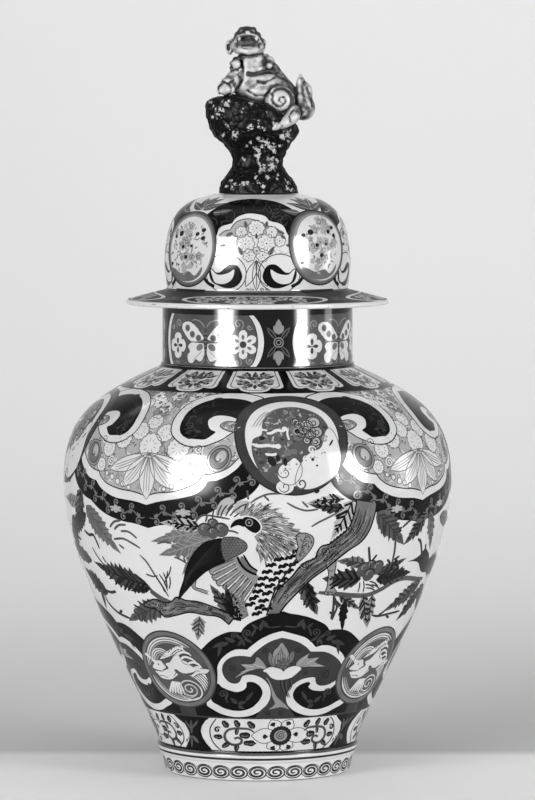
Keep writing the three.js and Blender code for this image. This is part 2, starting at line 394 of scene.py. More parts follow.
class Spot:
    """A place on a painting where shapes are drawn, as they are or mirrored left to right."""

    def __init__(self, painting, theta, s, flip=False):
        self.painting = painting
        self.theta = theta
        self.s = s
        self.flip = flip

    def sides(self):
        """The place as it is and mirrored."""
        return self, Spot(self.painting, self.theta, self.s, True)

    def put(self, tone, coat, pts, faces):
        pts = pts * (-1 if self.flip else 1, 1)
        s = self.s + pts[:, 1]
        theta = self.theta + pts[:, 0] / np.maximum(self.painting.skin.at(s, 0), 1)
        if self.flip:
            faces = [face[::-1] for face in faces]
        self.painting.add(tone, coat, theta, s, faces)

    def fill(self, tone, coat, outline):
        """A filled outline."""
        grain = self.painting.grain
        outline = dense(outline, grain, closed=True)
        low, high = outline.min(axis=0), outline.max(axis=0)
        inner = []
        if (high - low).min() > grain:
            xs = np.arange(low[0] + grain / 2, high[0], grain)
            ys = np.arange(low[1] + grain / 2, high[1], grain)
            grid = np.stack(np.meshgrid(xs, ys), -1).reshape(-1, 2)
            inner = grid[inside(outline, grid)]
        pts = np.vstack([outline, inner]) if len(inner) else outline
        n = len(outline)
        made = delaunay_2d_cdt([Vector(p) for p in pts], [], [list(range(n))], 1, 1e-5)
        spots = np.array([tuple(v) for v in made[0]])
        faces = []
        for face in made[2]:
            a, b, c = (spots[i] for i in face[:3])
            cross = (b[0] - a[0]) * (c[1] - a[1]) - (b[1] - a[1]) * (c[0] - a[0])
            faces.append(tuple(face) if cross > 0 else tuple(face)[::-1])
        self.put(tone, coat, spots, faces)

    def line(self, tone, coat, run, width, start=0.35, end=0.35):
        """A brush stroke along a run of points. start and end are the shares of its width there."""
        run = dense(run, self.painting.grain)
        gaps = np.hypot(*np.diff(run, axis=0).T)
        run = run[np.concatenate([[True], gaps > 1e-6])]
        along = np.gradient(run, axis=0)
        along /= np.maximum(np.hypot(*along.T), 1e-9)[:, None]
        side = np.stack([-along[:, 1], along[:, 0]], -1)
        t = np.linspace(0, 1, len(run))
        taper = np.minimum(1, start + (1 - start) * t * 6) * np.minimum(1, end + (1 - end) * (1 - t) * 6)
        half = width / 2 * taper
        left, right = run + side * half[:, None], run - side * half[:, None]
        n = len(run)
        faces = [(n + i, n + i + 1, i + 1, i) for i in range(n - 1)]
        self.put(tone, coat, np.vstack([left, right]), faces)

    def loop(self, tone, coat, outline, width):
        """An even line all the way round a closed outline."""
        outline = dense(outline, self.painting.grain, closed=True)
        along = np.roll(outline, -1, axis=0) - np.roll(outline, 1, axis=0)
        along /= np.maximum(np.hypot(*along.T), 1e-9)[:, None]
        side = np.stack([-along[:, 1], along[:, 0]], -1) * width / 2
        n = len(outline)
        faces = [(n + i, n + (i + 1) % n, (i + 1) % n, i) for i in range(n)]
        self.put(tone, coat, np.vstack([outline + side, outline - side]), faces)

    def edged(self, tone, coat, outline, edge, width, rise=0):
        """A filled outline with an even line round it, which lies rise coats higher."""
        self.fill(tone, coat, outline)
        self.loop(edge, coat + rise, outline, width)

    def dot(self, tone, coat, x, y, rx, ry=None):
        self.fill(tone, coat, ellipse(x, y, rx, ry, step=0.9))

    def rays(self, tone, coat, middle, count, inner, outer, width, start=0.0):
        """Short straight lines round a middle, between two distances from it."""
        for i in range(count):
            run = moved(points((inner, 0), (outer, 0)), *middle, start + 360 / count * i)
            self.line(tone, coat, run, width, 1, 1)


def vine(spot, tone, coat, run, radius, gap, width=1.1):
    """A waving stem along a run of points, with curls and leaflets to either side in turn."""
    run = dense(smooth(run), 1.0)
    reach = np.concatenate([[0], np.cumsum(np.hypot(*np.diff(run, axis=0).T))])
    along = np.gradient(run, axis=0)
    along /= np.hypot(*along.T)[:, None]
    side = np.stack([-along[:, 1], along[:, 0]], -1)
    stem = run - side * (radius * 0.55 * np.cos(math.pi * (reach / gap - 0.5)))[:, None]
    spot.line(tone, coat, stem, width, 0.5, 0.3)
    for i in range(int(reach[-1] / gap)):
        k = int(np.searchsorted(reach, (i + 0.5) * gap))
        turn = math.degrees(math.atan2(along[k][1], along[k][0]))
        hand = 1 if i % 2 else -1
        middle = stem[k] + side[k] * hand * radius
        spot.line(tone, coat, spiral(*middle, radius, 1.35 * hand, turn - 90 * hand), width, 1, 0.8)
        spot.dot(tone, coat, *middle, radius * 0.26)
        for lean, share in ((35, 1.5), (75, 1.0)):
            leaflet = leaf(*stem[k], radius * share, radius * 0.5 * share, turn - hand * lean, 0.2 * -hand)
            spot.fill(tone, coat, leaflet)


def brushwork(spot, coat, outline, count, seed, tones, length=7.0, width=0.8):
    """Short curved brush strokes at random places inside an outline."""
    rng = random.Random(seed)
    low, high = outline.min(axis=0), outline.max(axis=0)
    for _ in range(count):
        x, y = rng.uniform(low[0], high[0]), rng.uniform(low[1], high[1])
        turn, reach = rng.uniform(0, 360), rng.uniform(0.5, 1) * length
        run = stroke(x, y, reach, turn, 0.22)
        if inside(outline, run[[0, 2]]).all():
            spot.line(rng.choice(tones), coat, smooth(run), width * rng.uniform(0.8, 1.5), 0.5, 0.3)


# The bare porcelain

EDGE_ROUNDING = 1.2  # on the porcelain's free edges
BARE_FOOT = 1.7  # height up to which the foot has no glaze


def cad_profile(name):
    """A turned CAD node's outline as radius and height, anticlockwise, from the axis if it reaches it."""
    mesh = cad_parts[name].data
    keys = {}
    for v in mesh.vertices:
        x, y, z = v.co / MM
        if abs(y) < 0.05 and x > -0.05:
            keys[v.index] = (max(round(x, 1), 0.0), round(z, 1))
    next_to = {}
    for face in mesh.polygons:
        for a, b in face.edge_keys:
            if a in keys and b in keys and keys[a] != keys[b]:
                next_to.setdefault(keys[a], set()).add(keys[b])
                next_to.setdefault(keys[b], set()).add(keys[a])
    on_axis = sorted((key for key in next_to if key[0] == 0), key=lambda key: key[1])
    run = [on_axis[0] if on_axis else min(next_to, key=lambda key: (key[1], key[0]))]
    while True:
        ahead = [key for key in next_to[run[-1]] if key not in run]
        if not ahead:
            break
        run.append(max(ahead) if len(run) == 1 else ahead[0])
    return run


def softened(run, sharp_heights):
    """A run of profile points with a small curve at each free edge."""
    run = np.array(run, dtype=float)
    out = [run[0]]
    for before, here, after in zip(run, run[1:], run[2:]):
        a, b = before - here, after - here
        turn = math.pi - Vector(a).angle(Vector(b))
        if turn < math.radians(35) or min(abs(here[1] - z) for z in sharp_heights) < 0.2:
            out.append(here)
            continue
        reach = min(EDGE_ROUNDING, np.hypot(*a) / 2.2, np.hypot(*b) / 2.2)
        a, b = here + a / np.hypot(*a) * reach, here + b / np.hypot(*b) * reach
        out.extend((1 - t) ** 2 * a + 2 * t * (1 - t) * here + t**2 * b for t in (0, 0.33, 0.67, 1))
    out.append(run[-1])
    return np.array(out)


def section_rows(run, skin, sharp_heights):
    """The rows of a turned section's surface, from its CAD profile. Each row is a radius and a height, or a
    distance along the skin where the section shows on the outside."""
    reaches_axis = run[0][0] == 0
    rings = [i for i, ring in enumerate(run) if any(math.dist(ring, kept) < 0.4 for kept in skin.rings)]
    first, last = rings[0], rings[-1]
    low, high = skin.nearest(run[first]), skin.nearest(run[last])
    outside = skin.s[(skin.s > low + 0.05) & (skin.s < high - 0.05)]
    under, inner = [], [*run[last:], *run[:first + 1]]
    if reaches_axis:
        under, inner = softened(run[:first + 1], sharp_heights)[:-1], run[last:]
    inner = softened(inner, sharp_heights)[1:] if reaches_axis else softened(inner, sharp_heights)[1:-1]
    return [*((r, z, None) for r, z in under), *((None, None, s) for s in (low, *outside, high)),
            *((r, z, None) for r, z in inner)]


def row_spots(row, skin):
    """The spots and normals of one row, in metres. A normal of zero is left for the mesh to find."""
    r, z, s = row
    turn = np.arange(ROUND_STEPS) * 2 * math.pi / ROUND_STEPS
    if s is not None:
        return skin.place(turn, np.full(ROUND_STEPS, s), 0)
    if r == 0:
        return np.array([[0, 0, z * MM]]), np.zeros((1, 3))
    spots = np.stack([r * np.sin(turn), -r * np.cos(turn), np.full(ROUND_STEPS, z)], -1) * MM
    return spots, np.zeros((ROUND_STEPS, 3))


def row_faces(a, b, size_a, size_b):
    """The faces between two rows that start at spots a and b. A row on the axis has a single spot."""
    faces = []
    for i in range(ROUND_STEPS):
        j = (i + 1) % ROUND_STEPS
        if size_a == 1:
            faces.append((a, b + j, b + i))
        elif size_b == 1:
            faces.append((a + i, a + j, b))
        else:
            faces.append((a + i, a + j, b + j, b + i))
    return faces


def turned_piece(name, node, skin, material, slot_name, sharp_heights):
    """A section with the skin as its outside and the CAD section's own inside."""
    run = cad_profile(node)
    spots, normals = zip(*(row_spots(row, skin) for row in section_rows(run, skin, sharp_heights)))
    sizes = [len(row) for row in spots]
    starts = [sum(sizes[:i]) for i in range(len(sizes))]
    rows = list(range(len(sizes)))
    above = rows[1:] + rows[:1] if run[0][0] > 0 else rows[1:]
    faces = []
    for a, b in zip(rows, above):
        faces += row_faces(starts[a], starts[b], sizes[a], sizes[b])
    piece = mesh_piece(name, np.vstack(spots), faces, None, material, skin.body)
    piece.data.set_sharp_from_angle(angle=math.radians(40))
    piece.data.normals_split_custom_set_from_vertices([tuple(n) for n in np.vstack(normals)])
    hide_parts(node)
    return piece


def bare_foot(mesh):
    """Leaves the ring that the jar stands on without glaze."""
    mesh.materials.append(bare_clay)
    for face in mesh.polygons:
        if all(mesh.vertices[i].co.z < BARE_FOOT * MM for i in face.vertices):
            face.material_index = 1


def build_body():
    seams = [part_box("jar_lower_body")[1][2] / MM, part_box("jar_neck")[0][2] / MM]
    mouth = [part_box("jar_neck")[1][2] / MM]
    glazed = (porcelain, "glazed_porcelain")
    lower = turned_piece("porcelain_lower_body", "jar_lower_body", jar_skin, *glazed, seams)
    bare_foot(lower.data)
    turned_piece("porcelain_shoulder", "jar_shoulder", jar_skin, *glazed, seams)
    turned_piece("porcelain_neck", "jar_neck", jar_skin, *glazed, seams)
    turned_piece("porcelain_cover", "cover_dome", cover_skin, *glazed, mouth)
    rim_skin = Skin("cover", ["cover_locating_rim"])
    turned_piece("porcelain_rim", "cover_locating_rim", rim_skin, bare_clay, "bare_porcelain", mouth)


build_body()


# Small motifs that several bands share

def curl(spot, tone, coat, x, y, radius, start, turns, width, tail=None):
    """A tendril that rolls up. tail is where its stalk comes from."""
    run = spiral(x, y, radius, turns, start, inner=0.15)
    if tail is not None:
        run = np.vstack([smooth([tail, run[0]], step=1.0)[:-1], run])
    spot.line(tone, coat, run, width, start=0.5, end=0.9)
    spot.dot(tone, coat, *run[-1], width * 0.7)


def leaves(spot, tone, coat, places, vein=None):
    """Pointed leaves at places given as x, y, length, width, turn and, if wanted, bend."""
    for place in places:
        outline = leaf(*place)
        spot.fill(tone, coat, outline)
        if vein:
            x, y, length, _, turn, *bend = place
            t = np.linspace(0.05, 0.85, 7)
            side = (bend[0] if bend else 0) * length * t**2
            spot.line(vein, coat + 1, moved(np.stack([length * t, side], -1), x, y, turn), 0.7)


# Foot: a band of running spirals on the ring of the foot

SCROLL_COUNT = 32
SCROLL_MIDDLE = 10.4
SCROLL_WAIST = 0.68  # height of a spiral for its width
FOOT_LINES = (("dark", 0.9, 1.9), ("dark", 24.6, 27.0), ("iron", 29.6, 32.6))  # lines round the foot; the last lies across the concave corner at the top of the cordon and is partly painted shade there


def paint_foot():
    art = Painting(jar_skin, "foot")
    pitch = 2 * math.pi * jar_skin.at(SCROLL_MIDDLE, 0) / SCROLL_COUNT
    for tone, low, high in FOOT_LINES:
        art.band(tone, 1, low, high, 0.25)
    for spot in art.spots(0, SCROLL_MIDDLE, SCROLL_COUNT):
        for turns, start, width in ((2.3, 200, 1.5), (1.9, 20, 1.1)):
            scroll = spiral(0, 0, pitch * 0.56, turns, start, SCROLL_WAIST, inner=0.12)
            spot.line("dark", 1, scroll, width, 0.6, 0.6)
    art.finish()


# Panel band: white cartouches on black above the foot

PANEL_BAND = (32.5, 72.2)
PANEL_MIDDLE = 53.0
PANEL_TURN = 9.0
CARTOUCHE = points(
    (-67, 18), (-71, 14), (-74.5, 8), (-75.5, 2), (-73, -5), (-68, -12), (-61, -18.8), (62, -18.8),
    (67, -14), (73, -8), (77, 0), (77, 9), (72, 13), (68, 18), (66, 18.6), (-65, 18.6),
)
CARTOUCHE_SIDES = (
    curve((-59, 17.5), (-63, 11), (-65, 5), (-64, -3), (-60, -11), (-52, -18.3)),
    curve((60, 17), (64, 13), (67, 4), (67, -3), (63, -11), (54, -18)),
)
ROSETTE = (6.5, -1.0)
SCROLL_STEM = curve(
    (-20, 3), (-25, 6.5), (-32, 7.2), (-40, 7), (-46, 5), (-49, 0), (-48, -6), (-43, -10.5), (-37, -11.5),
    (-32, -9), (-32, -5), (-36, -3.2), (-39, -5),
)
SCROLL_BERRIES = (
    (-46, 8, 8, 6.4, 130), (-35, 8.5, 8, 6, 120), (-20, 7.5, 8.5, 6.6, 130), (-51, -3.5, 8, 6, 175),
    (-44, -9.5, 7, 6, 215), (-36, -11, 6, 5.4, 265), (-24, -1, 8, 7.6, 175), (-17, -9.5, 11, 7, 178),
    (-37, 7, 6, 4.6, 268),
)
BETWEEN_CARTOUCHES = (
    (-86, -3, 18, 3.4, 95), (-87, 3, 13, 3, 128), (-86, 4, 13, 3, 55), (-86, -4, 12, 4, 225),
    (-86, -4, 12, 4, 318), (-86, -5, 13, 2.6, 270),
)


def paint_cartouche(spot):
    spot.edged("white", 2, CARTOUCHE, "shade", 0.7)
    for side in CARTOUCHE_SIDES:
        spot.line("dark", 3, side, 1.4, 0.8, 0.8)
    for turn in (60, 120, -60, -120):
        petal = leaf(*ROSETTE, 21, 14, turn, lead=0.6)
        within = (petal[:, 1] < 18.2) & (petal[:, 1] > -18.5)
        spot.loop("dark", 3, smooth(petal[within], closed=True), 0.8)
    for length, turn in ((29, 180), (31, 0)):
        spot.edged("white", 4, leaf(*ROSETTE, length, 17, turn, lead=0.55), "dark", 0.8, rise=1)
    for angle in range(0, 360, 60):
        away = moved(points((12, 0)), *ROSETTE, angle + 4)[0]
        spot.fill("shade", 6, leaf(*away, 6, 5.6, angle, lead=0.65))
    for angle in range(0, 360, 18):
        spot.dot("shade", 6, *moved(points((9, 0)), *ROSETTE, angle)[0], 2.2)
    spot.dot("silver", 7, *ROSETTE, 7)
    spot.loop("shade", 8, ellipse(*ROSETTE, 7), 0.8)
    spot.line("dark", 8, spiral(*ROSETTE, 5, 2.0, 40), 0.9, 0.8, 0.8)


def paint_scroll(spot, stretch, shift):
    """The berried scroll at one end of a cartouche, drawn for the left end and stretched and shifted."""
    for tone, coat, width in (("mid", 3, 3.0), ("dark", 4, 1.2)):
        spot.line(tone, coat, SCROLL_STEM * stretch + shift, width, 0.5, 0.9)
    for x, y, length, width, turn in SCROLL_BERRIES:
        spray = stroke(x, y, length, turn, 0.08)
        spot.line("dark", 4, smooth(spray) * stretch + shift, 1.4, 1, 1)
        for share, size in ((0.5, 0.6), (0.85, 0.5), (0.3, 0.36)):
            at, radius = spray[0] * (1 - share) + spray[2] * share, width * size
            spot.fill("shade", 4, ellipse(*at, radius, radius * 0.84, turn) * stretch + shift)
            spot.line("mid", 5, spiral(*at, radius * 0.5, 0.6, turn) * stretch + shift, 0.8)
    spot.line("shade", 4, spiral(-57, 5, 3.6, 1.2, 30) * stretch + shift, 2.0, 0.4, 1)


def paint_panels():
    art = Painting(jar_skin, "panel_band")
    low, high = PANEL_BAND
    art.band("black", 1, low, high)
    art.band("dark", 2, high - 1, high + 1)
    for spot in art.spots(PANEL_TURN, PANEL_MIDDLE):
        paint_cartouche(spot)
        paint_scroll(spot, (1, 1), (0, 0))
        paint_scroll(spot, (-0.88, 1), (2 * ROSETTE[0] - 0.5, 0))
        for place in BETWEEN_CARTOUCHES:
            spot.fill("iron", 2, leaf(*place, lead=0.5))
    art.finish()


paint_foot()
paint_panels()


# Lower lappets: lotus panels that rise from the panel band, with hare medallions between them

LAPPET_TURN = 9.0
LAPPET_MIDDLE = 122.8
LAPPET_OUTER = (
    points((-84, 22), (-77, 30), (-70, 38), (-62, 44), (-52, 48.5), (-40, 48.5)),
    points((-40, 48.5), (-38, 53), (-32, 59), (-20, 65), (-12, 68), (0, 71.5)),
    points((0, 71.5), (6, 69), (16, 67), (26, 64), (35, 60), (43, 55.5), (47, 51), (48.5, 48.5)),
    points((48.5, 48.5), (56, 49), (65, 48), (73, 44.5), (80, 39), (88, 31), (93, 22)),
)
LAPPET_WHITE = (
    points((-60, -11), (-60.5, 0), (-61, 9), (-58, 17), (-52, 24), (-46, 28), (-40, 29), (-33, 28.5)),
    points((-33, 28.5), (-29, 33), (-20, 41), (-10, 46.5), (0, 49.5)),
    points((0, 49.5), (8, 47), (17, 44), (24, 41), (30, 36), (33, 32.5), (35.5, 30)),
    points((35.5, 30), (40, 31.5), (47, 31.5), (54, 29.5), (60, 26), (66, 20.5), (70, 14)),
)
LAPPET_FIELD = (
    points(
        (-20, -50), (-16, -42), (-10, -35), (-7, -27), (-7, -20), (-9, -13), (-13, -7), (-19, -2.5),
        (-26, 0), (-33, -0.5), (-36, -2.5), (-37, -6), (-39, -9.5), (-43, -10.5), (-48, -9), (-53, -4),
        (-56, 3), (-56, 10), (-53, 16), (-48, 20), (-42, 21.5), (-35, 21.5), (-29, 20.5),
    ),
    points((-29, 20.5), (-25, 26), (-18, 33), (-10, 38.5), (0, 42)),
    points((0, 42), (10, 39.5), (18, 36), (25, 31), (30, 25.5)),
    points(
        (30, 25.5), (37, 25), (44, 24.5), (50, 22.5), (56, 19), (62, 14), (66, 8), (66, -4), (62, -9.5),
        (58, -12), (52, -14.5), (45, -15), (40, -13), (38, -9), (37, -4.8), (30, -4.8), (22, -7), (15, -12),
        (11, -18), (9, -26), (10, -33), (14, -40), (20, -50),
    ),
)
COMMAS = (
    closed_curve(
        (-31, -9), (-28, -8), (-23, -9), (-18, -13), (-15, -19), (-15, -24), (-18, -31), (-24, -38),
        (-32, -41.5), (-41, -42), (-50, -40), (-58, -36), (-65, -31), (-66, -20), (-60, -11), (-55, -15),
        (-47, -18.5), (-40, -20), (-34, -18), (-31, -14),
    ),
    closed_curve(
        (31, -9.5), (25, -11), (20, -14), (17, -18), (15.5, -23), (17, -29), (21, -34), (27, -38.5),
        (34, -41.5), (42, -42.5), (50, -41.5), (58, -39), (65, -35.5), (71, -32), (70, -20), (65, -10),
        (60, -16), (55, -19.5), (48, -21), (40, -20.5), (34, -18.5), (31, -15), (33, -11.5),
    ),
)
COMMA_BORDERS = (
    closed_curve(
        (-60, -10), (-55, -14), (-48, -17), (-40, -18), (-34, -14), (-33, -4), (-28, 0), (-22, -1),
        (-15, -5), (-10, -11), (-7, -18), (-7, -27), (-10, -35), (-16, -42), (-24, -47), (-33, -49),
        (-42, -49), (-53, -46.5), (-62, -42), (-70, -36), (-66, -28), (-60, -18),
    ),
    closed_curve(
        (62, -9), (58, -12), (52, -14.5), (45, -15), (40, -12), (38, -5), (30, -4.8), (22, -7), (15, -12),
        (11, -18), (9, -26), (10, -33), (14, -39), (21, -44.5), (31, -48.5), (41, -49.5), (52, -48),
        (62, -44), (76, -37), (72, -26), (66, -12),
    ),
)
LOTUS_HEART = (3.0, 12.0)
LOTUS_PETAL_TOP = closed_curve(
    (0, 36.5), (-3, 32), (-7, 27), (-8, 19), (-7, 12), (0, 10), (8, 12), (9, 20), (7, 27), (4, 32),
)
LOTUS_PETAL_SIDES = (
    closed_curve((-11, 26), (-12, 18), (-9, 11), (-4, 10), (-6, 18), (-8, 22)),
    closed_curve((12, 27), (8, 22), (6, 14), (9, 12), (13, 17), (14, 23)),
)
LOTUS_BOWL = closed_curve(
    (-16, 5), (-9, 9), (-3, 8), (2, 6), (4, 3.5), (6, 6), (11, 9), (17, 9.5), (22, 6.5), (18, 1), (12, -4),
    (5, -6), (-2, -6), (-8, -3), (-12, 2),
)
LOTUS_LEAF_LEFT = closed_curve(
    (-13, 7), (-16, 14), (-23, 20.5), (-26, 13), (-38, 12), (-33, 7), (-39, 1), (-43, -4), (-36, 0),
    (-28, 5), (-20, 7),
)
LOTUS_LEAF_RIGHT = closed_curve(
    (16, 10), (19, 17), (29, 23.5), (28, 18), (40, 18), (36, 13), (48, 7), (40, 8.5), (30, 8), (22, 8),
)
LOTUS_STEM = closed_curve(
    (-13, -3), (-10, -5), (-7, -11), (-4, -18), (0, -26), (7, -33), (13, -41), (5, -38), (-7, -40),
    (-2, -34), (-5, -26), (-7, -17), (-10, -8),
)
LOTUS_VEINS = (
    ((-14, 8), (-26, 12)), ((-24, 7), (-37, 3)), ((-25, 9), (-36, 11)), ((18, 11), (27, 21)),
    ((27, 12), (38, 17)), ((30, 9), (45, 8)),
)
LOTUS_STALKS = (
    points((2, -6), (3, -14), (6, -22)), points((6, -7), (7, -16), (11, -27)),
    points((11, -6), (12, -14), (9, -20)),
)
LOTUS_CURLS = (  # x, y, radius, start and turns
    (-45, 7, 4.4, 30, 1.5), (-15, 27, 3.6, 0, 1.3), (17, 27, 3.6, 180, -1.3), (48, -2, 5.5, 160, -1.6),
    (26, 1, 3, 120, -1.0), (5, -45, 3.4, 0, 1.4), (-8, -45, 3, 180, -1.2),
)
LAPPET_GROUND = points((-118, -50), (118, -50), (118, -22), (-118, -22))
LAPPET_FOOT = points((98, 0), (80, -50), (-80, -50), (-96, 0))
LAPPET_WHITE_FOOT = points((64, -30), (-60, -30))
TOP_LEAVES = (
    (14, 54, 11, 3.6, 50), (22, 50, 12, 4, 102), (24, 52, 9, 3.2, 40), (30, 43, 13, 2.6, 112),
    (45, 38, 12, 5, 10, 0.2), (54, 36, 15, 5, -12, -0.2), (60, 34, 14, 4, -95, 0.2), (52, 37, 8, 4, -40),
    (38, 40, 9, 3.4, -60), (38, 40, 8, 3, -105), (36, 41, 9, 3, -150), (38, 40, 9, 3.4, 35),
)
SPRIG_LEAVES = (
    (-39, -34, 10, 4.4, 125, 0.2), (-38, -34, 9, 4.6, 20), (-30, -31, 13, 3.6, 70, -0.15),
    (-38, -36, 8, 4, -30), (-50, -30, 7, 2.4, 95),
)


def karakusa_top(spot):
    """Scrolling foliage on the black band over a lappet."""
    for side in spot.sides():
        side.line("dark", 4, curve((2, 55), (8, 54), (14, 54), (21, 57)), 1.5, 0.6, 0.4)
        leaves(side, "dark", 4, TOP_LEAVES)
        curl(side, "dark", 4, 34, 47, 5, -90, 1.4, 1.5, tail=(37, 40))
        curl(side, "dark", 4, 47, 44.5, 3.6, 180, -1.3, 1.3, tail=(40, 41))


def comma_sprig(spot):
    """A sprig on the black of a curling end."""
    leaves(spot, "dark", 5, SPRIG_LEAVES)
    curl(spot, "dark", 5, -53.5, -23, 5.2, -60, 1.4, 1.6, tail=(-48, -33))


def paint_lotus(spot):
    for tone, outlines in (("silver", (LOTUS_LEAF_LEFT, LOTUS_LEAF_RIGHT, LOTUS_STEM)),
                           ("mid", LOTUS_PETAL_SIDES), ("silver", (LOTUS_PETAL_TOP,))):
        for outline in outlines:
            spot.edged(tone, 5, outline, "shade", 0.5)
    for x in (-5, -2.5, 0, 2.5, 5):
        spot.line("iron", 6, points((x * 0.4 + 0.3, 33 - abs(x) * 1.6), (x * 0.9, 22), (x, 12)), 0.9)
    for base, tip in LOTUS_VEINS:
        spot.line("pale", 6, curve(base, tip), 1.2)
    spot.fill("iron", 6, flower(*LOTUS_HEART, 7, 4, 7.5))
    for i in range(7):
        spot.dot("mid", 7, *moved(points((4.2, 0)), *LOTUS_HEART, 51 * i)[0], 1.1)
    spot.dot("mid", 7, *LOTUS_HEART, 1.4)
    spot.edged("white", 7, LOTUS_BOWL, "dark", 0.5)
    for run in LOTUS_STALKS:
        spot.line("shade", 5, smooth(run), 1.3)
        spot.line("iron", 6, smooth(run + (1.6, 0)), 1.0)
    for place in LOTUS_CURLS:
        curl(spot, "shade", 5, *place, 1.1)


HARE_TURN = -35.9
HARE_MIDDLE = 125.4
HARE_RADIUS = 44.0
HARE_CENTRE = (9.5, 3.0)  # of the medallion, in the coordinates that the outlines below are drawn in
HARE_BODY = closed_curve(
    (-1, 9), (5, 11), (10, 16), (14, 19.5), (19, 19.5), (20, 15), (25, 13.5), (29, 9), (34, 6.5), (42, 6),
    (48, 5), (45, 1), (38, 0), (30, 1), (26, 0), (20, -1), (15, 0), (11, 3), (8, 2), (11, -3), (7, -6),
    (2, -9), (-4, -10), (-12, -9), (-16, -5), (-19, -1), (-10, -1), (-3, 2), (0, 5),
)
HARE_EAR = closed_curve(
    (-7, 13), (-2, 18), (0, 20), (10, 26), (20, 30.5), (28, 31), (26, 28), (22, 25), (13, 20), (4, 16),
)
HARE_MUZZLE = closed_curve(
    (-28, 17), (-24, 19), (-15, 12), (-8, 12), (-3, 9), (-2, 4), (-7, 0), (-14, 0), (-21, 2), (-20, 5),
    (-17, 8), (-20, 11),
)
SPRAY = (  # tongues of water behind the hare
    ((7.9, 20.8), (14.4, 25.4), (19.9, 28.3), (25.3, 27.2), (27.5, 23.7)),
    ((11.1, 16.2), (17.7, 20.8), (24.2, 23.7), (30.8, 22.6), (32.9, 19.7)),
    ((15.5, 10.5), (20.9, 16.2), (26.4, 18.5), (32.9, 16.2), (36.3, 13.4)),
    ((20.9, 5.9), (26.4, 10.5), (32.9, 12.8), (38.4, 10.5), (40.6, 7)),
    ((26.4, 2.4), (31.8, 5.9), (37.3, 7.6), (41, 4.7), (42, 0.1)),
    ((27.5, -3.3), (32.9, 0.1), (38.4, 1.3), (41.4, -2.2), (42, -5.6)),
)
HARE_LINES = (
    curve((11, 3), (9, -1), (5, -5)), curve((20, 15), (22, 11), (27, 9)),
    curve((-14, -6), (-8, -6), (-3, -8)), curve((30, 1), (33, 3), (38, 3)),
)
RING_WAVES = (  # tone, radius, start and end
    ("white", 35.6, 48, 178), ("white", 33, 52, 176), ("silver", 30.6, 58, 172), ("white", 35.6, 196, 300),
    ("pale", 33.2, 196, 296), ("silver", 31, 200, 290),
)


def paint_hare(spot):
    centre = np.array(HARE_CENTRE)

    def arc(x, y, radius, start, end):
        angle = np.radians(np.linspace(start, end, max(6, int(abs(end - start) / 7))))
        return np.stack([x + radius * np.cos(angle), y + radius * np.sin(angle)], -1) - centre

    spot.fill("dark", 5, ellipse(0, 0, HARE_RADIUS))
    spot.fill("mid", 6, ellipse(0, 0, HARE_RADIUS - 1.6))
    spot.loop("shade", 7, ellipse(0, 0, HARE_RADIUS - 6.3), 0.8)
    spot.fill("iron", 7, ellipse(0, 0, HARE_RADIUS - 7))
    for tone, radius, start, end in RING_WAVES:
        spot.line(tone, 8, arc(*HARE_CENTRE, radius, start, end), 1.5)
    for tone, radius in (("white", 14), ("white", 11.6), ("pale", 9.2), ("silver", 6.8)):
        spot.line(tone, 8, arc(-3.4, 11.5, radius, 45, 190), 1.4)
    for radius in (17.6, 20, 22.4, 24.8, 27.2):
        spot.line("white", 8, arc(19, -19, radius, 3.2 * radius - 60, 110 - 2.2 * radius), 1.4)
    spot.line("white", 8, spiral(20, -19, 15.4, 2.6, 200, 0.85) - centre, 1.5, 0.5, 1)
    spot.line("silver", 8, spiral(20, -19, 13, 2.0, 20, 0.85) - centre, 1.0, 0.5, 1)
    for i in range(6):
        run = points((-7 + 3.8 * i, -25 - i * 0.2), (-3 + 2.8 * i, -18), (2 + 1.5 * i, -11))
        spot.line("white", 8, smooth(run - centre), 2.4, 0.3, 0.2)
    for run in SPRAY:
        wave = smooth(points(*run) - centre)
        spot.line("shade", 8, wave, 4.4, 1, 0.35)
        spot.line("white", 9, wave, 2.6, 1, 0.3)
    for outline, coat in ((HARE_MUZZLE, 8), (HARE_EAR, 8), (HARE_BODY, 9)):
        spot.edged("white", coat, outline - centre, "shade", 0.7)
    spot.line("iron", 10, curve((-7, 1), (-3, 2.5), (0, 3), (1, 5), (-3, 7), (-5, 11)) - centre, 1.4)
    spot.dot("shade", 10, *(points((-11, 7))[0] - centre), 1.0)
    for run in HARE_LINES:
        spot.line("iron", 10, run - centre, 0.8)


def paint_lappets():
    art = Painting(jar_skin, "lappets")
    art.band("dark", 1, PANEL_BAND[1], LAPPET_MIDDLE - 32)
    for spot in art.spots(LAPPET_TURN, LAPPET_MIDDLE):
        spot.fill("dark", 1, LAPPET_GROUND)
        spot.fill("black", 2, np.vstack([joined(LAPPET_OUTER), LAPPET_FOOT]))
        spot.fill("white", 3, np.vstack([joined(LAPPET_WHITE), LAPPET_WHITE_FOOT]))
        spot.fill("dark", 4, joined(LAPPET_FIELD))
        for border, comma, side in zip(COMMA_BORDERS, COMMAS, spot.sides()):
            spot.fill("white", 3, border)
            spot.fill("black", 4, comma)
            comma_sprig(side)
        karakusa_top(spot)
        paint_lotus(spot)
    for spot in art.spots(HARE_TURN, HARE_MIDDLE):
        paint_hare(spot)
    art.finish()


paint_lappets()


# Field: a hawk on a branch among leaves and berries, painted twice round the belly

FIELD_MIDDLE = 249.6
HAWK_TURN = -7.8
LEFT_TURN = -61.6  # where the leaves to the left of the hawk are drawn from
RIGHT_TURN = 57.6


def leaf_width(share, width):
    """Half the width of a leaf at a share of its length."""
    return width / 2 * math.sin(math.pi * min(1.0, share) ** 0.75) ** 0.8


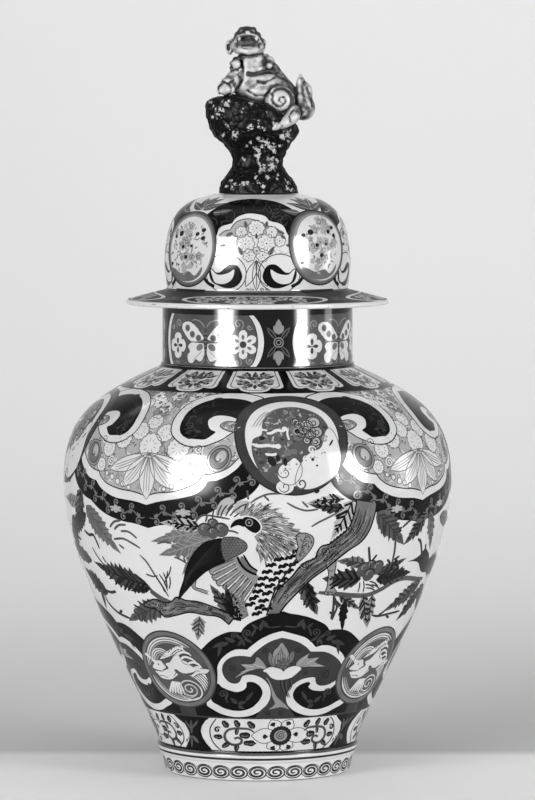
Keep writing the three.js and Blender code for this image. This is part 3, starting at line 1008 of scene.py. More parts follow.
def toothed(x, y, length, width, turn, bend=0.0, teeth=6):
    """The outline of a leaf with ragged, forward-pointing teeth and a long tip, from its stem end."""
    rng = random.Random(int(length * 7 + width * 3 + turn))
    sides = []
    for side in (1, -1):
        half = []
        for i in range(teeth):
            valley, tip = (i + 0.4) / (teeth + 0.6), (i + 1.15) / (teeth + 0.6)
            spread = rng.uniform(0.9, 1.2)
            half.append((length * valley, side * leaf_width(valley, width) * 0.74))
            half.append((length * tip, side * leaf_width(tip - 0.04, width) * spread))
        sides.append(half)
    outline = points((0, 0), *sides[0], (length * 1.16, 0), *sides[1][::-1])
    outline[:, 1] += bend * length * (outline[:, 0] / length) ** 2
    return moved(outline, x, y, turn)


def saw_leaf(spot, tone, vein, x, y, length, width, turn, bend=0.0, coat=2, ink=2.3):
    """A ragged leaf with a midrib and slanting strokes of a loaded brush on both sides of it."""
    teeth = max(4, int(length / 7))
    spot.fill(tone, coat, toothed(x, y, length, width, turn, bend, teeth))
    t = np.linspace(0, 1.02, 9)
    rib = np.stack([length * t, bend * length * t**2], -1)
    spot.line(vein, coat + 1, moved(rib, x, y, turn), 1.3, 1, 0.3)
    rng = random.Random(int(length * 5 + width + turn + x))
    for i in range(teeth):
        for side in (-1, 1):
            s = (i + rng.uniform(0.25, 0.75)) / (teeth + 0.4)
            reach = max(2.0, leaf_width(s + 0.08, width) * rng.uniform(0.72, 1.05))
            lean = rng.uniform(0.85, 1.5)
            start = (length * s, bend * length * s * s)
            run = points(start, (start[0] + reach * 0.45 * lean, start[1] + side * reach * 0.42),
                         (start[0] + reach * lean, start[1] + side * reach))
            spot.line(vein, coat + 1, moved(smooth(run), x, y, turn), ink * rng.uniform(0.7, 1.3), 0.8, 0.15)


def twigs(spot, tone, width, *runs, coat=2):
    for run in runs:
        spot.line(tone, coat, curve(*run), width * 1.5, 0.6, 0.6)


HAWK_NAPE = points(
    (10, 44), (9, 49), (14, 49), (14, 54), (19, 52), (21, 57), (25, 54), (30, 58), (32, 54), (38, 56),
    (38, 51), (45, 51), (44, 47), (52, 47), (50, 43), (58, 42), (55, 38), (63, 36), (60, 32), (68, 31),
    (64, 25), (66, 18), (62, 15), (60, 8), (56, 9), (53, 4), (49, 7), (46, 1), (43, 5), (39, -1), (36, 3),
    (33, -5), (31, 1), (28, -4), (27, 6), (24, 12), (26, 18), (23, 24), (28, 28), (31, 33), (29, 39),
    (24, 43), (16, 45),
)
HAWK_FACE = closed_curve(
    (12, 41), (16, 43.5), (24, 41.5), (29, 36), (29, 31), (25, 27.5), (20, 29), (15, 33), (13, 37),
)
HAWK_BEAK = closed_curve(
    (0.5, 32.5), (2, 37), (6, 40.5), (12, 41.5), (14, 37), (14, 33.5), (9, 35), (5, 34.5),
)
HAWK_COVERT = closed_curve(
    (-8, 21), (1, 23.4), (9, 21.6), (15, 17.5), (15.6, 12), (10.6, 7), (1, 2), (-6, -1), (-9, 10),
)
HAWK_WING = closed_curve(
    (-8, 21.6), (-17, 20.5), (-26.5, 17), (-37.5, 6), (-46, -10), (-49.5, -23), (-54.5, -36), (-56, -45),
    (-49, -37), (-38, -25), (-26, -14), (-15, -7), (-5, -1), (-8, 11),
)
HAWK_SHOULDER = closed_curve(
    (64, 25), (72, 27), (80, 23), (80.5, 16), (75.5, 7.6), (65.6, -2), (62.5, 4), (65, 12), (64, 20),
)
HAWK_TAIL = points((-2, -36), (0, -48), (-1, -62), (8, -64), (14, -60), (12, -48), (12, -40), (4, -37))
HAWK_BODY = closed_curve(
    (14, 30), (28, 20), (30, 0), (60, 8), (64, 0), (54, -14), (42, -30), (34, -56), (22, -62), (12, -48),
    (8, -38), (10, -10), (12, 8),
)
PLUMES = (  # root and tip of each feather of the fan, from the lowest
    ((20.5, -25), (7, -44)), ((17.7, -20.5), (2, -40)), ((13.4, -17), (-2.5, -35.6)),
    ((10, -13.5), (-8.4, -31)), ((6.6, -11), (-15, -26.4)), ((5, -6), (-19, -20.4)),
    ((3.6, -1.5), (-21.5, -14.2)),
)
PLUME_WIDTH = 7.0
NAPE_STROKES = 700
HAWK_EYE = (18.5, 37.8)
FAN = points((-6, 1), (6, 6), (14, -8), (26, -17), (22, -32), (12, -40), (2, -30), (-8, -20), (-18, -12))
BREAST_BARS = (
    (46, 0), (57, 2), (64, 9), (38, -6), (50, -7), (60, -5), (34, -13), (45, -14), (55, -13), (30, -20),
    (40, -21), (49, -22), (26, -27), (36, -28), (44, -30), (24, -34), (33, -36), (20, -41), (29, -44),
    (16, -48), (25, -51), (32, -53), (22, -58),
)
BREAST_BAR = points((-5, -0.6), (-2.4, 1.4), (0.4, -0.4), (3, 1.2), (5.4, -1.4))
WING_FOLDS = (  # strokes between the wing and the breast: tone, coat, width and run
    ("mid", 7, 4.4, curve((10, 3.5), (13, -4), (17.5, -9), (24, -13.5))),
    ("black", 8, 2.6, curve((6, 3), (9, -4), (13, -9.5), (18.7, -13.4), (24, -15.6))),
    ("black", 8, 2.0, curve((12, 5.4), (15.3, -1.3), (18.7, -6.8), (25, -11.5))),
)


def paint_plumes(spot):
    spot.fill("silver", 5, FAN)
    for root, tip in PLUMES:
        along = points(tip)[0] - root
        length, half = float(np.hypot(*along)), PLUME_WIDTH / 2
        turn = math.degrees(math.atan2(along[1], along[0]))
        half_root = half * 0.6
        plume = curve(
            (0, half_root), (length - half, half), (length, 0), (length - half, -half), (0, -half_root),
        )
        plume = moved(plume, *root, turn)
        spot.fill("silver", 5, plume)
        spot.line("dark", 6, plume, 1.0, 1, 1)
        for tone, off in (("white", 0.7), ("mid", 0.2)):
            run = points(
                (0, half_root * off), (length * 0.5, half * off * 0.9), (length * 0.9, half * off * 0.95),
            )
            spot.line(tone, 6, smooth(moved(run, *root, turn)), 1.5, 0.5, 0.8)


def paint_wing(spot):
    spot.fill("black", 7, HAWK_WING)
    for i in range(7):
        run = curve((-11 - 0.8 * i, 20 - 3.2 * i), (-30 - 1.2 * i, 1 - 2.2 * i), (-50, -24 - 1.4 * i))
        spot.line("shade", 8, run, 0.6, 0.3, 0.3)
    spot.edged("mid", 8, HAWK_COVERT, "shade", 0.9, rise=1)
    for i in range(9):
        for j in range(8):
            x, y = -9 + 3.2 * i + 1.6 * (j % 2), 22 - 2.9 * j
            if inside(HAWK_COVERT, points((x, y)))[0]:
                spot.line("dark", 9, ellipse(x, y, 1.9, 1.7)[::3], 0.6, 1, 1)


def paint_nape(spot):
    """Ruffled feathers that run back from the hawk's face."""
    spot.fill("silver", 6, HAWK_NAPE)
    rng = random.Random(11)
    for _ in range(NAPE_STROKES):
        x, y = rng.uniform(10, 66), rng.uniform(-6, 56)
        if not inside(HAWK_NAPE, points((x, y)))[0]:
            continue
        turn = math.atan2(y - 30, x - 12) - 0.3
        reach = rng.uniform(4, 8)
        run = points((x, y), (x + reach * math.cos(turn), y + reach * math.sin(turn)))
        spot.line("dark" if rng.random() < 0.72 else "white", 7, run, rng.uniform(0.6, 1.1), 0.4, 0.1)


def paint_hawk(spot):
    spot.fill("white", 4, HAWK_BODY)
    spot.fill("mid", 5, HAWK_TAIL)
    for i in range(5):
        for j in range(2):
            spot.loop("silver", 6, ellipse(2 + 6 * j + i % 2 * 2, -42 - 4.4 * i, 2.6, 2.2), 0.8)
    paint_plumes(spot)
    paint_wing(spot)
    for tone, coat, width, run in WING_FOLDS:
        spot.line(tone, coat, run, width, 0.5, 0.7)
    for i, (x, y) in enumerate(BREAST_BARS):
        bar = moved(BREAST_BAR, x, y, 12 + 9 * (i % 3))
        spot.line("black", 7, smooth(bar), 3.8, 0.4, 0.3)
    paint_nape(spot)
    for outline in (HAWK_BEAK, HAWK_FACE):
        spot.loop("white", 8, outline, 2.4)
        spot.fill("black", 9, outline)
    spot.loop("silver", 10, ellipse(*HAWK_EYE, 3.3), 1.0)
    spot.dot("silver", 10, *HAWK_EYE, 1.1)
    spot.fill("silver", 8, HAWK_SHOULDER)
    brushwork(spot, 9, HAWK_SHOULDER, 60, 2, ("iron", "dark"), 4)
    spot.loop("shade", 9, HAWK_SHOULDER, 1.0)
    for y in (5, 9, 13, 17, 21):
        spot.line("dark", 9, moved(points((-4, 0), (0, 1.5), (4, 0)), 67 + y * 0.3, y, 40), 0.9)
    twigs(spot, "shade", 1.1, ((66, 5), (52, -15), (42, -30), (36, -45), (31, -60)), coat=7)
    spot.line("silver", 5, curve((-36, -17), (-39, -29), (-33, -33), (-25, -36)), 3.4, 1, 0.6)
    for shift in (-1.7, 1.7):
        run = curve((-36 + shift, -17), (-39 + shift, -30), (-33, -33 + shift), (-24, -36 + shift))
        spot.line("dark", 6, run, 0.8, 1, 0.6)


RIGHT_BRANCH = (
    curve(
        (127, 58), (124, 44), (118, 31), (106, 21), (97, 15), (89, 13), (84, 7), (82, 1), (72, -3), (65, -9),
        (57, -19), (48, -27), (42, -35), (37, -46), (32, -59),
    ),
    curve(
        (44, -58), (50, -49), (60, -38), (70, -28), (80, -19), (92, -11), (105, -1), (118, 8), (132, 16),
        (142, 28), (149, 46), (150, 54),
    ),
)
LEFT_BRANCH = (
    curve(
        (0, -62), (-10, -55), (-20, -51), (-35, -46), (-48, -45), (-58, -42), (-64, -47), (-72, -49),
        (-84, -46), (-98, -51),
    ),
    curve(
        (-98, -55), (-84, -57), (-78, -61), (-72, -65), (-60, -62), (-45, -58), (-30, -60), (-15, -62),
        (-6, -70),
    ),
)
BRANCH_KNOTS = (  # x, y, radius
    (92, 8, 6), (71, -7, 5), (128, 62, 5), (120, 28, 4), (-78, -53, 4), (-24, -53, 3.4), (104, 5, 3.4),
    (50, -38, 4),
)
BRANCH_STUB = closed_curve(
    (93, -4), (95, -15), (93, -30), (90, -38), (98, -39), (103, -36), (99, -28), (102, -14), (103, -2),
)


def paint_branches(spot):
    for sides in (RIGHT_BRANCH, LEFT_BRANCH):
        spot.edged("mid", 3, np.vstack(sides), "black", 1.6, rise=1)
    rng = random.Random(5)
    for (upper, lower), count in ((RIGHT_BRANCH, 120), (LEFT_BRANCH, 60)):
        lower = lower[::-1]
        for _ in range(count):
            t, share = rng.uniform(0.03, 0.8), rng.uniform(0.12, 0.88)
            run = []
            for step in np.linspace(0, rng.uniform(0.06, 0.16), 5):
                a = upper[int((t + step) * (len(upper) - 1))]
                b = lower[int((t + step) * (len(lower) - 1))]
                run.append(a * share + b * (1 - share))
            tone = rng.choice(("dark", "silver", "shade", "iron"))
            spot.line(tone, 4, smooth(run), rng.uniform(0.7, 1.5), 0.3, 0.2)
    for x, y, radius in BRANCH_KNOTS:
        spot.fill("silver", 4, ellipse(x, y, radius, radius * 0.8))
        spot.line("shade", 5, spiral(x, y, radius, 1.8, 200, 0.8), 1.0)
    for i in range(7):
        x, y = 97 + 3.4 * i, 16 + 2.3 * i
        spot.line("shade", 5, curve((x, y), (x + 2.5, y + 2 + 0.1 * i), (x + 4, y - 1 + 0.1 * i)), 1.1)
        x, y = 66 + 2.8 * i, -10 + 1.7 * i
        spot.line("shade", 5, curve((x, y), (x + 2, y + 5 - 0.2 * i), (x + 4, y + 2 + 0.1 * i)), 1.1)
    spot.edged("silver", 3, BRANCH_STUB, "shade", 1.0, rise=1)
    for y in (-12, -20, -28):
        spot.line("dark", 5, points((94.5, y), (98, y - 1.4), (101, y)), 0.9)


def berries(spot, *places):
    """Shaded berries, each given as x, y and radius."""
    for x, y, radius in places:
        outline = ellipse(x, y, radius, radius * 0.94)
        spot.fill("iron", 4, outline)
        spot.line("shade", 5, outline[:int(radius * 2)], 1.2)
        spot.line("silver", 5, spiral(x - 1, y + 1, radius * 0.55, 0.5, 60), 1.2)


def stripes(spot, tone, places):
    """Short brush strokes, given as x, y, length and turn."""
    for place in places:
        spot.line(tone, 3, smooth(stroke(*place, 0.07)), 1.5, 0.6, 0.2)


NEAR_LEAVES = (  # tone, vein, x, y, length, width, turn, and, where not plain, bend, coat and ink
    ("mid", "silver", -14, 25, 56, 26, 206, -0.08, 2, 1.0),
    ("mid", "silver", -22, 28, 54, 18, 188, 0.05, 2, 1.0),
    ("pale", "black", -28, 32, 38, 15, 170, 0.08, 2, 2.2),
    ("mid", "silver", -18, 22, 44, 17, 224, 0.1, 2, 1.0), ("iron", "shade", -2, -60, 34, 15, 118, 0.05),
    ("shade", "black", 3, -64, 34, 17, 108, -0.06, 5), ("black", "black", 6, -66, 22, 12, 122, 0.0, 6),
    ("silver", "dark", -35, -62, 24, 15, 262, 0, 2, 1.8), ("iron", "shade", 69, -26, 32, 19, 287, 0.05),
    ("shade", "black", 73, -24, 31, 11, 280, 0.0, 4), ("dark", "black", 113, 50, 32, 13, 172, 0.0),
    ("pale", "black", 113, 59, 34, 11, 178, 0.1, 2, 2.6),
    ("pale", "black", 123, 58, 40, 19, -119, -0.05, 2, 2.2),
)
RIGHT_LEAVES = (
    ("dark", "black", -70, -24, 38, 24, 176), ("mid", "dark", -70, -9, 30, 14, 160, 0.15),
    ("shade", "black", -50, -26, 46, 20, 8, -0.06), ("iron", "shade", -52, -20, 36, 14, 20),
    ("mid", "shade", -88, -41, 30, 10, -28), ("black", "black", -80, -46, 32, 10, 285, 0.05),
    ("silver", "shade", -60, -42, 36, 15, 300), ("silver", "shade", -48, -42, 34, 13, 285),
    ("iron", "dark", -70, 44, 50, 25, -36, -0.02), ("iron", "shade", 6, 36, 36, 18, 222),
    ("mid", "iron", 14, 40, 40, 17, -64), ("dark", "shade", 34, -18, 60, 26, -4),
    ("iron", "shade", 36, -34, 58, 21, 206), ("dark", "black", 44, -44, 42, 20, 222),
    ("dark", "shade", 40, -40, 50, 22, -40), ("mid", "dark", 42, 32, 44, 18, -8),
)
LEFT_LEAVES = (
    ("dark", "black", 73, -31, 70, 27, 172, -0.08), ("dark", "black", 74, -34, 26, 9, 190, 0.0),
    ("iron", "dark", 88, -50, 60, 24, 197, 0.05), ("mid", "iron", 4, 46, 56, 27, -44, -0.02, 2, 1.0),
    ("dark", "shade", 2, 38, 56, 19, 208, -0.05), ("silver", "iron", -4, 46, 50, 16, 176),
    ("iron", "dark", -10, -12, 56, 18, 168), ("dark", "black", 2, -46, 46, 23, 156, -0.04),
    ("iron", "black", -4, 62, 46, 24, 246, 0, 2, 2.6), ("iron", "black", -30, 34, 50, 24, 240, 0, 2, 2.6),
)


def paint_near_leaves(spot):
    """Leaves, berries and twigs round the hawk itself."""
    for place in NEAR_LEAVES:
        saw_leaf(spot, *place)
    berries(spot, (-25, 30, 7), (-9, 30, 7.5), (-17, 36, 5.5), (-17, 27, 6))
    for place in ((-14, 45, 26, 13, 38), (2, 48, 20, 12, 25)):
        spot.fill("pale", 2, leaf(*place, 0.1, 0.5))
    stripes(spot, "dark", (
        (-17, 39, 14, 78), (-12, 42, 14, 70), (-9, 43, 14, 60), (-4, 44, 13, 52), (0, 44, 14, 40),
        (4, 43, 14, 28), (-2, 50, 12, 40), (6, 50, 12, 30),
    ))
    twigs(
        spot, "iron", 1.3, ((20, 57), (28, 62), (38, 65.5), (56, 66)), ((33, 64), (38, 59)),
        ((17, 69), (18, 60)), ((0, 41), (-12, 43), (-27, 44), (-36, 35)), ((-22, 44), (-24, 38)),
        ((-5, 30), (3, 29), (8, 27)), ((55, 57), (64, 52), (74, 49), (86, 50)), ((70, 58), (76, 52)),
        ((79, 33), (86, 37), (95, 41), (106, 46)), ((-98, 1), (-90, -6), (-82, -18), (-74, -30), (-67, -42)),
        ((-92, -19), (-84, -21), (-78, -20)), ((-58, 1), (-52, -1), (-45, -5)), ((-48, 1), (-46, -4)),
        ((-76, 14), (-68, 16), (-60, 15)),
    )
    stripes(spot, "dark", (
        (-62, -9, 16, 245), (-66, -14, 16, 250), (-80, -22, 18, 300), (-76, -18, 20, 295),
        (-71, -16, 18, 280), (-64, -20, 14, 262),
    ))
    twigs(spot, "dark", 1.6, ((100, -40), (103, -52), (100, -60), (97, -67)), ((101, -45), (108, -52)))


def paint_right_leaves(spot):
    """The spray to the right of the hawk, with its berries and twigs."""
    for place in RIGHT_LEAVES:
        saw_leaf(spot, *place)
    twigs(
        spot, "iron", 3.4,
        (
            (-112, -36), (-95, -38), (-75, -41), (-55, -42), (-38, -37), (-22, -30), (-5, -28), (18, -31),
            (40, -33),
        ),
        coat=3,
    )
    berries(spot, (-70, -14, 8), (-54, -13, 8), (-62, -20, 7), (-63, -10, 6))
    stripes(spot, "dark", (
        (-66, -26, 14, 290), (-62, -30, 14, -20), (-60, -34, 14, -16), (-58, -27, 15, -25),
        (-70, -27, 12, 280), (-54, -31, 14, -22),
    ))
    twigs(
        spot, "dark", 1.8, ((-95, -38), (-90, -52), (-87, -66)), ((-90, -48), (-83, -53)),
        ((-92, -58), (-88, -60)), ((-38, -65), (-28, -67), (-10, -66), (8, -65)), ((-28, -66), (-20, -62)),
        ((-16, -67), (-9, -71)), ((-39, 16), (-36, 4), (-34, -12)), ((-26, -3), (-33, -6)),
        ((-43, -5), (-37, -10)), ((-72, 10), (-68, 0), (-64, -9)), ((-59, 1), (-64, -7)),
        ((-32, 27), (-20, 34), (-8, 37)), ((-24, 37), (-10, 36)),
    )
    twigs(spot, "dark", 2.2, ((-1, 13), (6, 9), (14, -2), (20, -9)), ((19, 6), (22, -2)))
    spot.fill(
        "shade", 3,
        closed_curve(
            (-9, -10), (2, -8.5), (12, -5), (20, 1), (30, -3), (38, -9), (46, -24), (36, -26), (25, -23),
            (14, -14), (4, -11),
        ),
    )


def paint_left_leaves(spot):
    """The spray to the left of the hawk, with its twigs."""
    for place in LEFT_LEAVES:
        saw_leaf(spot, *place)
    twigs(spot, "iron", 2.4, ((70, -28), (74, -36), (84, -44), (94, -48)), ((72, -38), (82, -46), (92, -53)))
    spot.fill("dark", 2, leaf(-12, -44, 22, 7, 255))
    twigs(spot, "dark", 2.2, ((0, -43), (10, -44), (20, -42)), ((-8, -46), (-5, -57), (8, -66), (28, -71)),
         ((12, -66), (18, -63)), ((-9, 20), (0, 16), (10, 16), (15, 3)), ((-50, 8), (-38, 11), (-24, 9)))
    twigs(
        spot, "iron", 1.6, ((44, 15), (58, 16.5), (68, 13), (78, 8)), ((50, 10), (56, 6)),
        ((0, 3), (6, -6), (14, -14)), ((16, -5), (20, -12)), ((42, 27), (50, 33), (60, 35)),
        ((48, 25), (56, 30), (66, 31)), ((57, 24), (68, 24), (77, 18)),
    )


def paint_field():
    art = Painting(jar_skin, "field")
    places = (art.spots(turn, FIELD_MIDDLE, 2) for turn in (HAWK_TURN, RIGHT_TURN, LEFT_TURN))
    for near, right, left in zip(*places):
        paint_branches(near)
        paint_hawk(near)
        paint_near_leaves(near)
        paint_right_leaves(right)
        paint_left_leaves(left)
    art.finish()


paint_field()


# Collar lappets: flower panels that hang from the shoulder, with lion medallions between them

COLLAR_TURN = -33.5
COLLAR_MIDDLE = 379.9
COLLAR_OUTER = (
    points((119, -46), (114, -58), (105, -67), (92, -73), (80, -76)),
    points((80, -76), (66, -84), (50, -91), (30, -96), (14, -97.5), (0, -101)),
    points((0, -101), (-15, -97.5), (-30, -96), (-50, -92), (-66, -86), (-80, -78)),
    points((-80, -78), (-92, -75), (-105, -68), (-115, -59), (-121, -48)),
)
COLLAR_WHITE = (
    points((98, -33), (92, -41), (83, -48), (74, -52), (65, -53)),
    points((65, -53), (61, -60), (52, -66), (38, -70), (15, -74), (0, -78)),
    points((0, -78), (-15, -75), (-38, -73), (-53, -69), (-63, -64), (-70, -58)),
    points((-70, -58), (-82, -56), (-91, -51), (-100, -43), (-106, -33)),
)
COLLAR_INNER = (
    points((93, -30), (86, -38), (78, -43), (66, -46.5), (60, -46)),
    points((60, -46), (56, -53), (46, -59), (30, -64), (12, -66), (0, -69.5)),
    points((0, -69.5), (-15, -66), (-35, -64), (-52, -60), (-62, -54), (-66, -49)),
    points((-66, -49), (-78, -46.5), (-87, -42), (-95, -35), (-99, -29)),
)
SCROLL_BORDER = curve(
    (95, 38), (88, 44), (78, 48), (68, 51), (58, 52), (46, 50), (34, 46), (25, 38), (19, 28), (16, 16),
    (16, 4), (19, -6), (26, -13), (35, -18), (46, -20), (57, -19), (67, -15), (74, -11), (78, -7), (84, -2),
    (92, 2),
)
SCROLL_HOLLOW = points(
    (92, 30), (80, 37), (70, 40.5), (58, 42), (48, 41), (38, 37), (30, 29), (26, 20), (25, 10), (26, 0),
    (30, -7), (37, -11), (47, -12), (56, -12), (61, -8), (64, -4), (58, -1), (54, 4), (52, 10), (56, 15),
    (63, 16), (72, 14.5), (80, 11), (92, 3),
)
SCROLL_TONGUE = closed_curve((66, 5), (70, 8.5), (78, 8), (85, 4), (88, -2), (80, -3.5), (72, -1), (67, 2))
COLLAR_BLOSSOMS = (
    (-4, 6, 9), (-17, -5, 10), (13, -6, 10), (-1, -20, 13), (-36, -14, 11), (-54, -25, 9), (31, -22, 12),
    (-63, -42, 7), (22, 28, 8), (-26, 30, 8),
)
COLLAR_SHELLS = (
    (-20, 42), (-9, 50), (4, 44), (14, 50), (24, 43), (-32, 49), (-12, 32), (10, 34), (0, 26), (-4, 18),
    (34, 48), (-44, 46), (44, 44),
)
COLLAR_BUBBLES = (
    (-30, -59, 2.6), (-37, -57, 3), (-22, -62, 2.6), (-45, -53, 2.8), (36, -55, 2.8), (28, -59, 2.4),
    (44, -51, 2.6), (20, -62, 2.2), (-53, -50, 2.4), (52, -46, 2.4),
)
COLLAR_CURLS = (  # x, y, radius, start, turns
    (-64, -17, 4.4, 180, -1.2), (-92, -16, 4.4, 40, 1.2), (52, -22, 4.4, 180, -1.3),
    (88, -14, 4.4, 140, -1.2), (60, -40, 4.4, 60, 1.2), (-48, -38, 4, 0, 1.3), (42, -34, 4, 0, 1.3),
)
COLLAR_FAN = (  # turn, length, width and bend of each leaf, the lowest first
    (-30, 52, 15, 0.16), (-150, 52, 15, -0.16), (-56, 46, 17, 0.12), (-124, 46, 17, -0.12), (-90, 46, 18, 0),
)


def collar_ground(spot):
    """The panel's drawing: blossoms over a fan of leaves, shells, bubbles and scrolls, close set on grey."""
    ground = np.vstack([joined(COLLAR_INNER), points((-104, 0), (-60, 50), (0, 56), (60, 50), (98, 0))])
    spot.fill("pale", 3, ground)
    brushwork(spot, 4, ground, 700, 7, ("mid", "silver", "iron", "white"), 6, 1.2)
    for i, (x, y) in enumerate(COLLAR_SHELLS):
        petals = flower(x, y, 7, 6, 8.5, 0.6, start=20 * i)
        spot.edged("silver" if i % 2 else "white", 5, petals, "iron", 0.7, rise=1)
        spot.dot("mid", 6, x, y, 2.4)
    for turn, length, width, bend in COLLAR_FAN:
        spot.edged("white", 5, leaf(0, -27, length, width, turn, bend, 0.55), "mid", 0.9, rise=1)
        for aside in (-0.16 * width, 0, 0.16 * width):
            vein = points((3, 0), (length * 0.5, aside + bend * length * 0.25),
                          (length * 0.86, aside + bend * length * 0.75))
            spot.line("silver", 6, smooth(moved(vein, 0, -27, turn)), 0.9)
    for i, (x, y, radius) in enumerate(COLLAR_BLOSSOMS):
        spot.edged("white", 6, flower(x, y, 13, radius * 0.9, radius, 0.6, start=20 * i), "iron", 0.9)
        spot.rays("silver", 7, (x, y), 9, radius * 0.35, radius * 0.62, 0.7, start=20)
    for place in COLLAR_BUBBLES:
        spot.edged("white", 6, ellipse(*place), "iron", 0.8, rise=1)
    for x, y, turn in ((-78, -31, 20), (74, -31, -20)):
        for tone, size in (("iron", 12), ("silver", 11), ("dark", 9.4), ("mid", 8.4)):
            spot.fill(tone, 7 + int(12 - size), ellipse(x, y, size, size * 1.15, turn))
        spot.fill("pale", 11, ellipse(x + 2, y + 2, 4.6, 6, turn))
        spot.line("dark", 12, spiral(x, y, 6, 0.8, 100), 1.2)
    for x, y, radius, start, turns in COLLAR_CURLS:
        curl(spot, "white", 6, x, y, radius + 0.6, start, turns, 3.2)
        curl(spot, "iron", 7, x, y, radius, start, turns, 0.9)


BORDER_BLOSSOM = (40, -84)
BORDER_VINE = points(
    (3, -90.4), (18, -86.4), (34, -84.4), (50, -80.4), (64, -73.4), (76, -67.4), (88, -61.4), (100, -53.4),
    (110, -43.4),
)


def karakusa_bottom(spot):
    """Scrolling foliage on the black border of a collar lappet."""
    for side in spot.sides():
        vine(side, "mid", 4, BORDER_VINE, 3.9, 10.5, 1.4)
        side.fill("pale", 5, flower(0, 0, 6, 2.2, 5.6, 0.5) * (1.5, 0.7) + BORDER_BLOSSOM)


LION_TURN = 10.9
LION_MIDDLE = 369.7
LION_RING = 56.5
MANE = (
    (22, 17, 7), (15, 14, 6), (24, 6, 6), (18, 3, 5), (12, 8, 5), (8, 4, 4), (22, -4, 5), (14, -3, 4),
    (8, 14, 5), (4, 18, 4),
)
LION_SHADOW = closed_curve(
    (-10, 36), (6, 38), (20, 33), (31, 24), (37, 10), (34, -4), (28, -20), (4, -32), (-3, -44), (-18, -46),
    (-32, -36), (-40, -18), (-39, -2), (-30, 4), (-28, 16), (-22, 28),
)
LION_BODY = closed_curve(
    (12, -18), (18, -14), (26, -11), (30, -4), (33, 6), (38, 10), (43, 3), (46, -8), (47, -22), (42, -36),
    (32, -44), (18, -50), (6, -50), (0, -44), (2, -34), (6, -26),
)
LION_CHEST = closed_curve(
    (-14, -28), (-6, -24), (0, -20), (6, -26), (7, -34), (4, -41), (-3, -46), (-12, -44), (-17, -37),
)
LION_FACE = closed_curve((0, 4), (-2, 10), (2, 15), (9, 16), (12, 8), (10, 0), (4, -3))
LION_STROKES = (  # width and run
    (3, curve((-25, 5), (-20, 5.5), (-15, 8.5), (-9, 7.5), (-7, 9))),
    (3.4, curve((-40, -6), (-34, -8), (-25, -7.5), (-20, -8), (-15, -9))),
    (2, curve((-38, 4), (-30, 9), (-24, 8))), (2.6, curve((-28, -16), (-22, -17), (-17, -16))),
    (2, curve((-4, 10), (-5, 4), (-4, -2))), (3, curve((-24, -28), (-22, -24), (-26, -21))),
)
LION_CURLS = (
    (17.5, -12.5, 4.2, 0, 1.2, "white"), (32, -2, 4, 30, 1.1, "silver"), (6, -45, 6, 200, 1.2, "iron"),
    (12, -22, 4, 90, 1.0, "white"),
)
LION_SPOTS = (
    (-22, -23, 3.6, 5.5, 30), (-16, -20, 2, 3.4, 0), (-9, -24, 2, 4, 0), (-30, 0, 3, 2, 0),
    (18, -22, 1.6, 1.6, 0), (22, -28, 1.2, 1, 0), (38, -6, 1, 4, -35), (21, -52, 3, 2.6, 0),
)
LION_SHADES = ((-26, -3, 3), (-21, -5, 2.6), (-6, -15, 4), (0, -14, 3.4), (-26, -28, 3.4), (2, 24, 3.6))


def paint_medallion_lion(spot):
    spot.fill("shade", 8, ellipse(0, 0, LION_RING))
    spot.fill("dark", 9, ellipse(0, 0, LION_RING - 1.4))
    spot.fill("white", 10, ellipse(0, -0.5, LION_RING - 10.5, LION_RING - 9.5))
    spot.fill("iron", 11, LION_SHADOW)
    for outline in (LION_BODY, LION_CHEST):
        spot.edged("white", 12, outline, "iron", 0.7, rise=0.5)
    spot.fill("white", 12, ellipse(-10, -48, 8.5, 6.5))
    for x, y, radius, start, turns in ((-10, -34, 8.5, 60, 1.3), (-10, -48, 6, 180, 1.2)):
        spot.line("iron", 13, spiral(x, y, radius, turns, start), 1.0)
    for x, y, radius in MANE:
        spot.fill("pale", 12, ellipse(x, y, radius, radius * 0.95))
        spot.line("shade", 13, spiral(x, y, radius * 0.8, 1.3, 20 * x), 1.0)
        spot.loop("dark", 13, ellipse(x, y, radius, radius * 0.95), 1.1)
    spot.fill("mid", 12, LION_FACE)
    spot.dot("black", 13, 5, 7, 2.6)
    spot.loop("pale", 13, ellipse(5, 7, 3.4), 0.9)
    for width, run in LION_STROKES:
        spot.line("white", 12, run, width, 0.5, 0.9)
    spot.dot("white", 12, -7, 10, 2.6)
    spot.dot("white", 12, -15, -8.5, 2.6)
    for x, y, radius, start, turns, tone in LION_CURLS:
        spot.line(tone, 13, spiral(x, y, radius, turns, start), 1.6)
    for place in LION_SPOTS:
        spot.fill("shade", 13, ellipse(*place, step=0.8))
    for x, y, radius in LION_SHADES:
        spot.fill("mid", 12, ellipse(x, y, radius, radius * 0.8))
    for y in (-38, -41, -44):
        spot.line("silver", 13, curve((40, y + 6), (43, y + 2), (44, y - 1)), 0.7)
    brushwork(spot, 11.5, LION_SHADOW, 260, 5, ("mid", "silver", "pale", "mid", "dark"), 5, 1.8)
    for shift in (0, 3, 6):
        spot.line("silver", 11, curve((-38 + shift, 12), (-30 + shift, 24), (-22 + shift, 32)), 1.0)


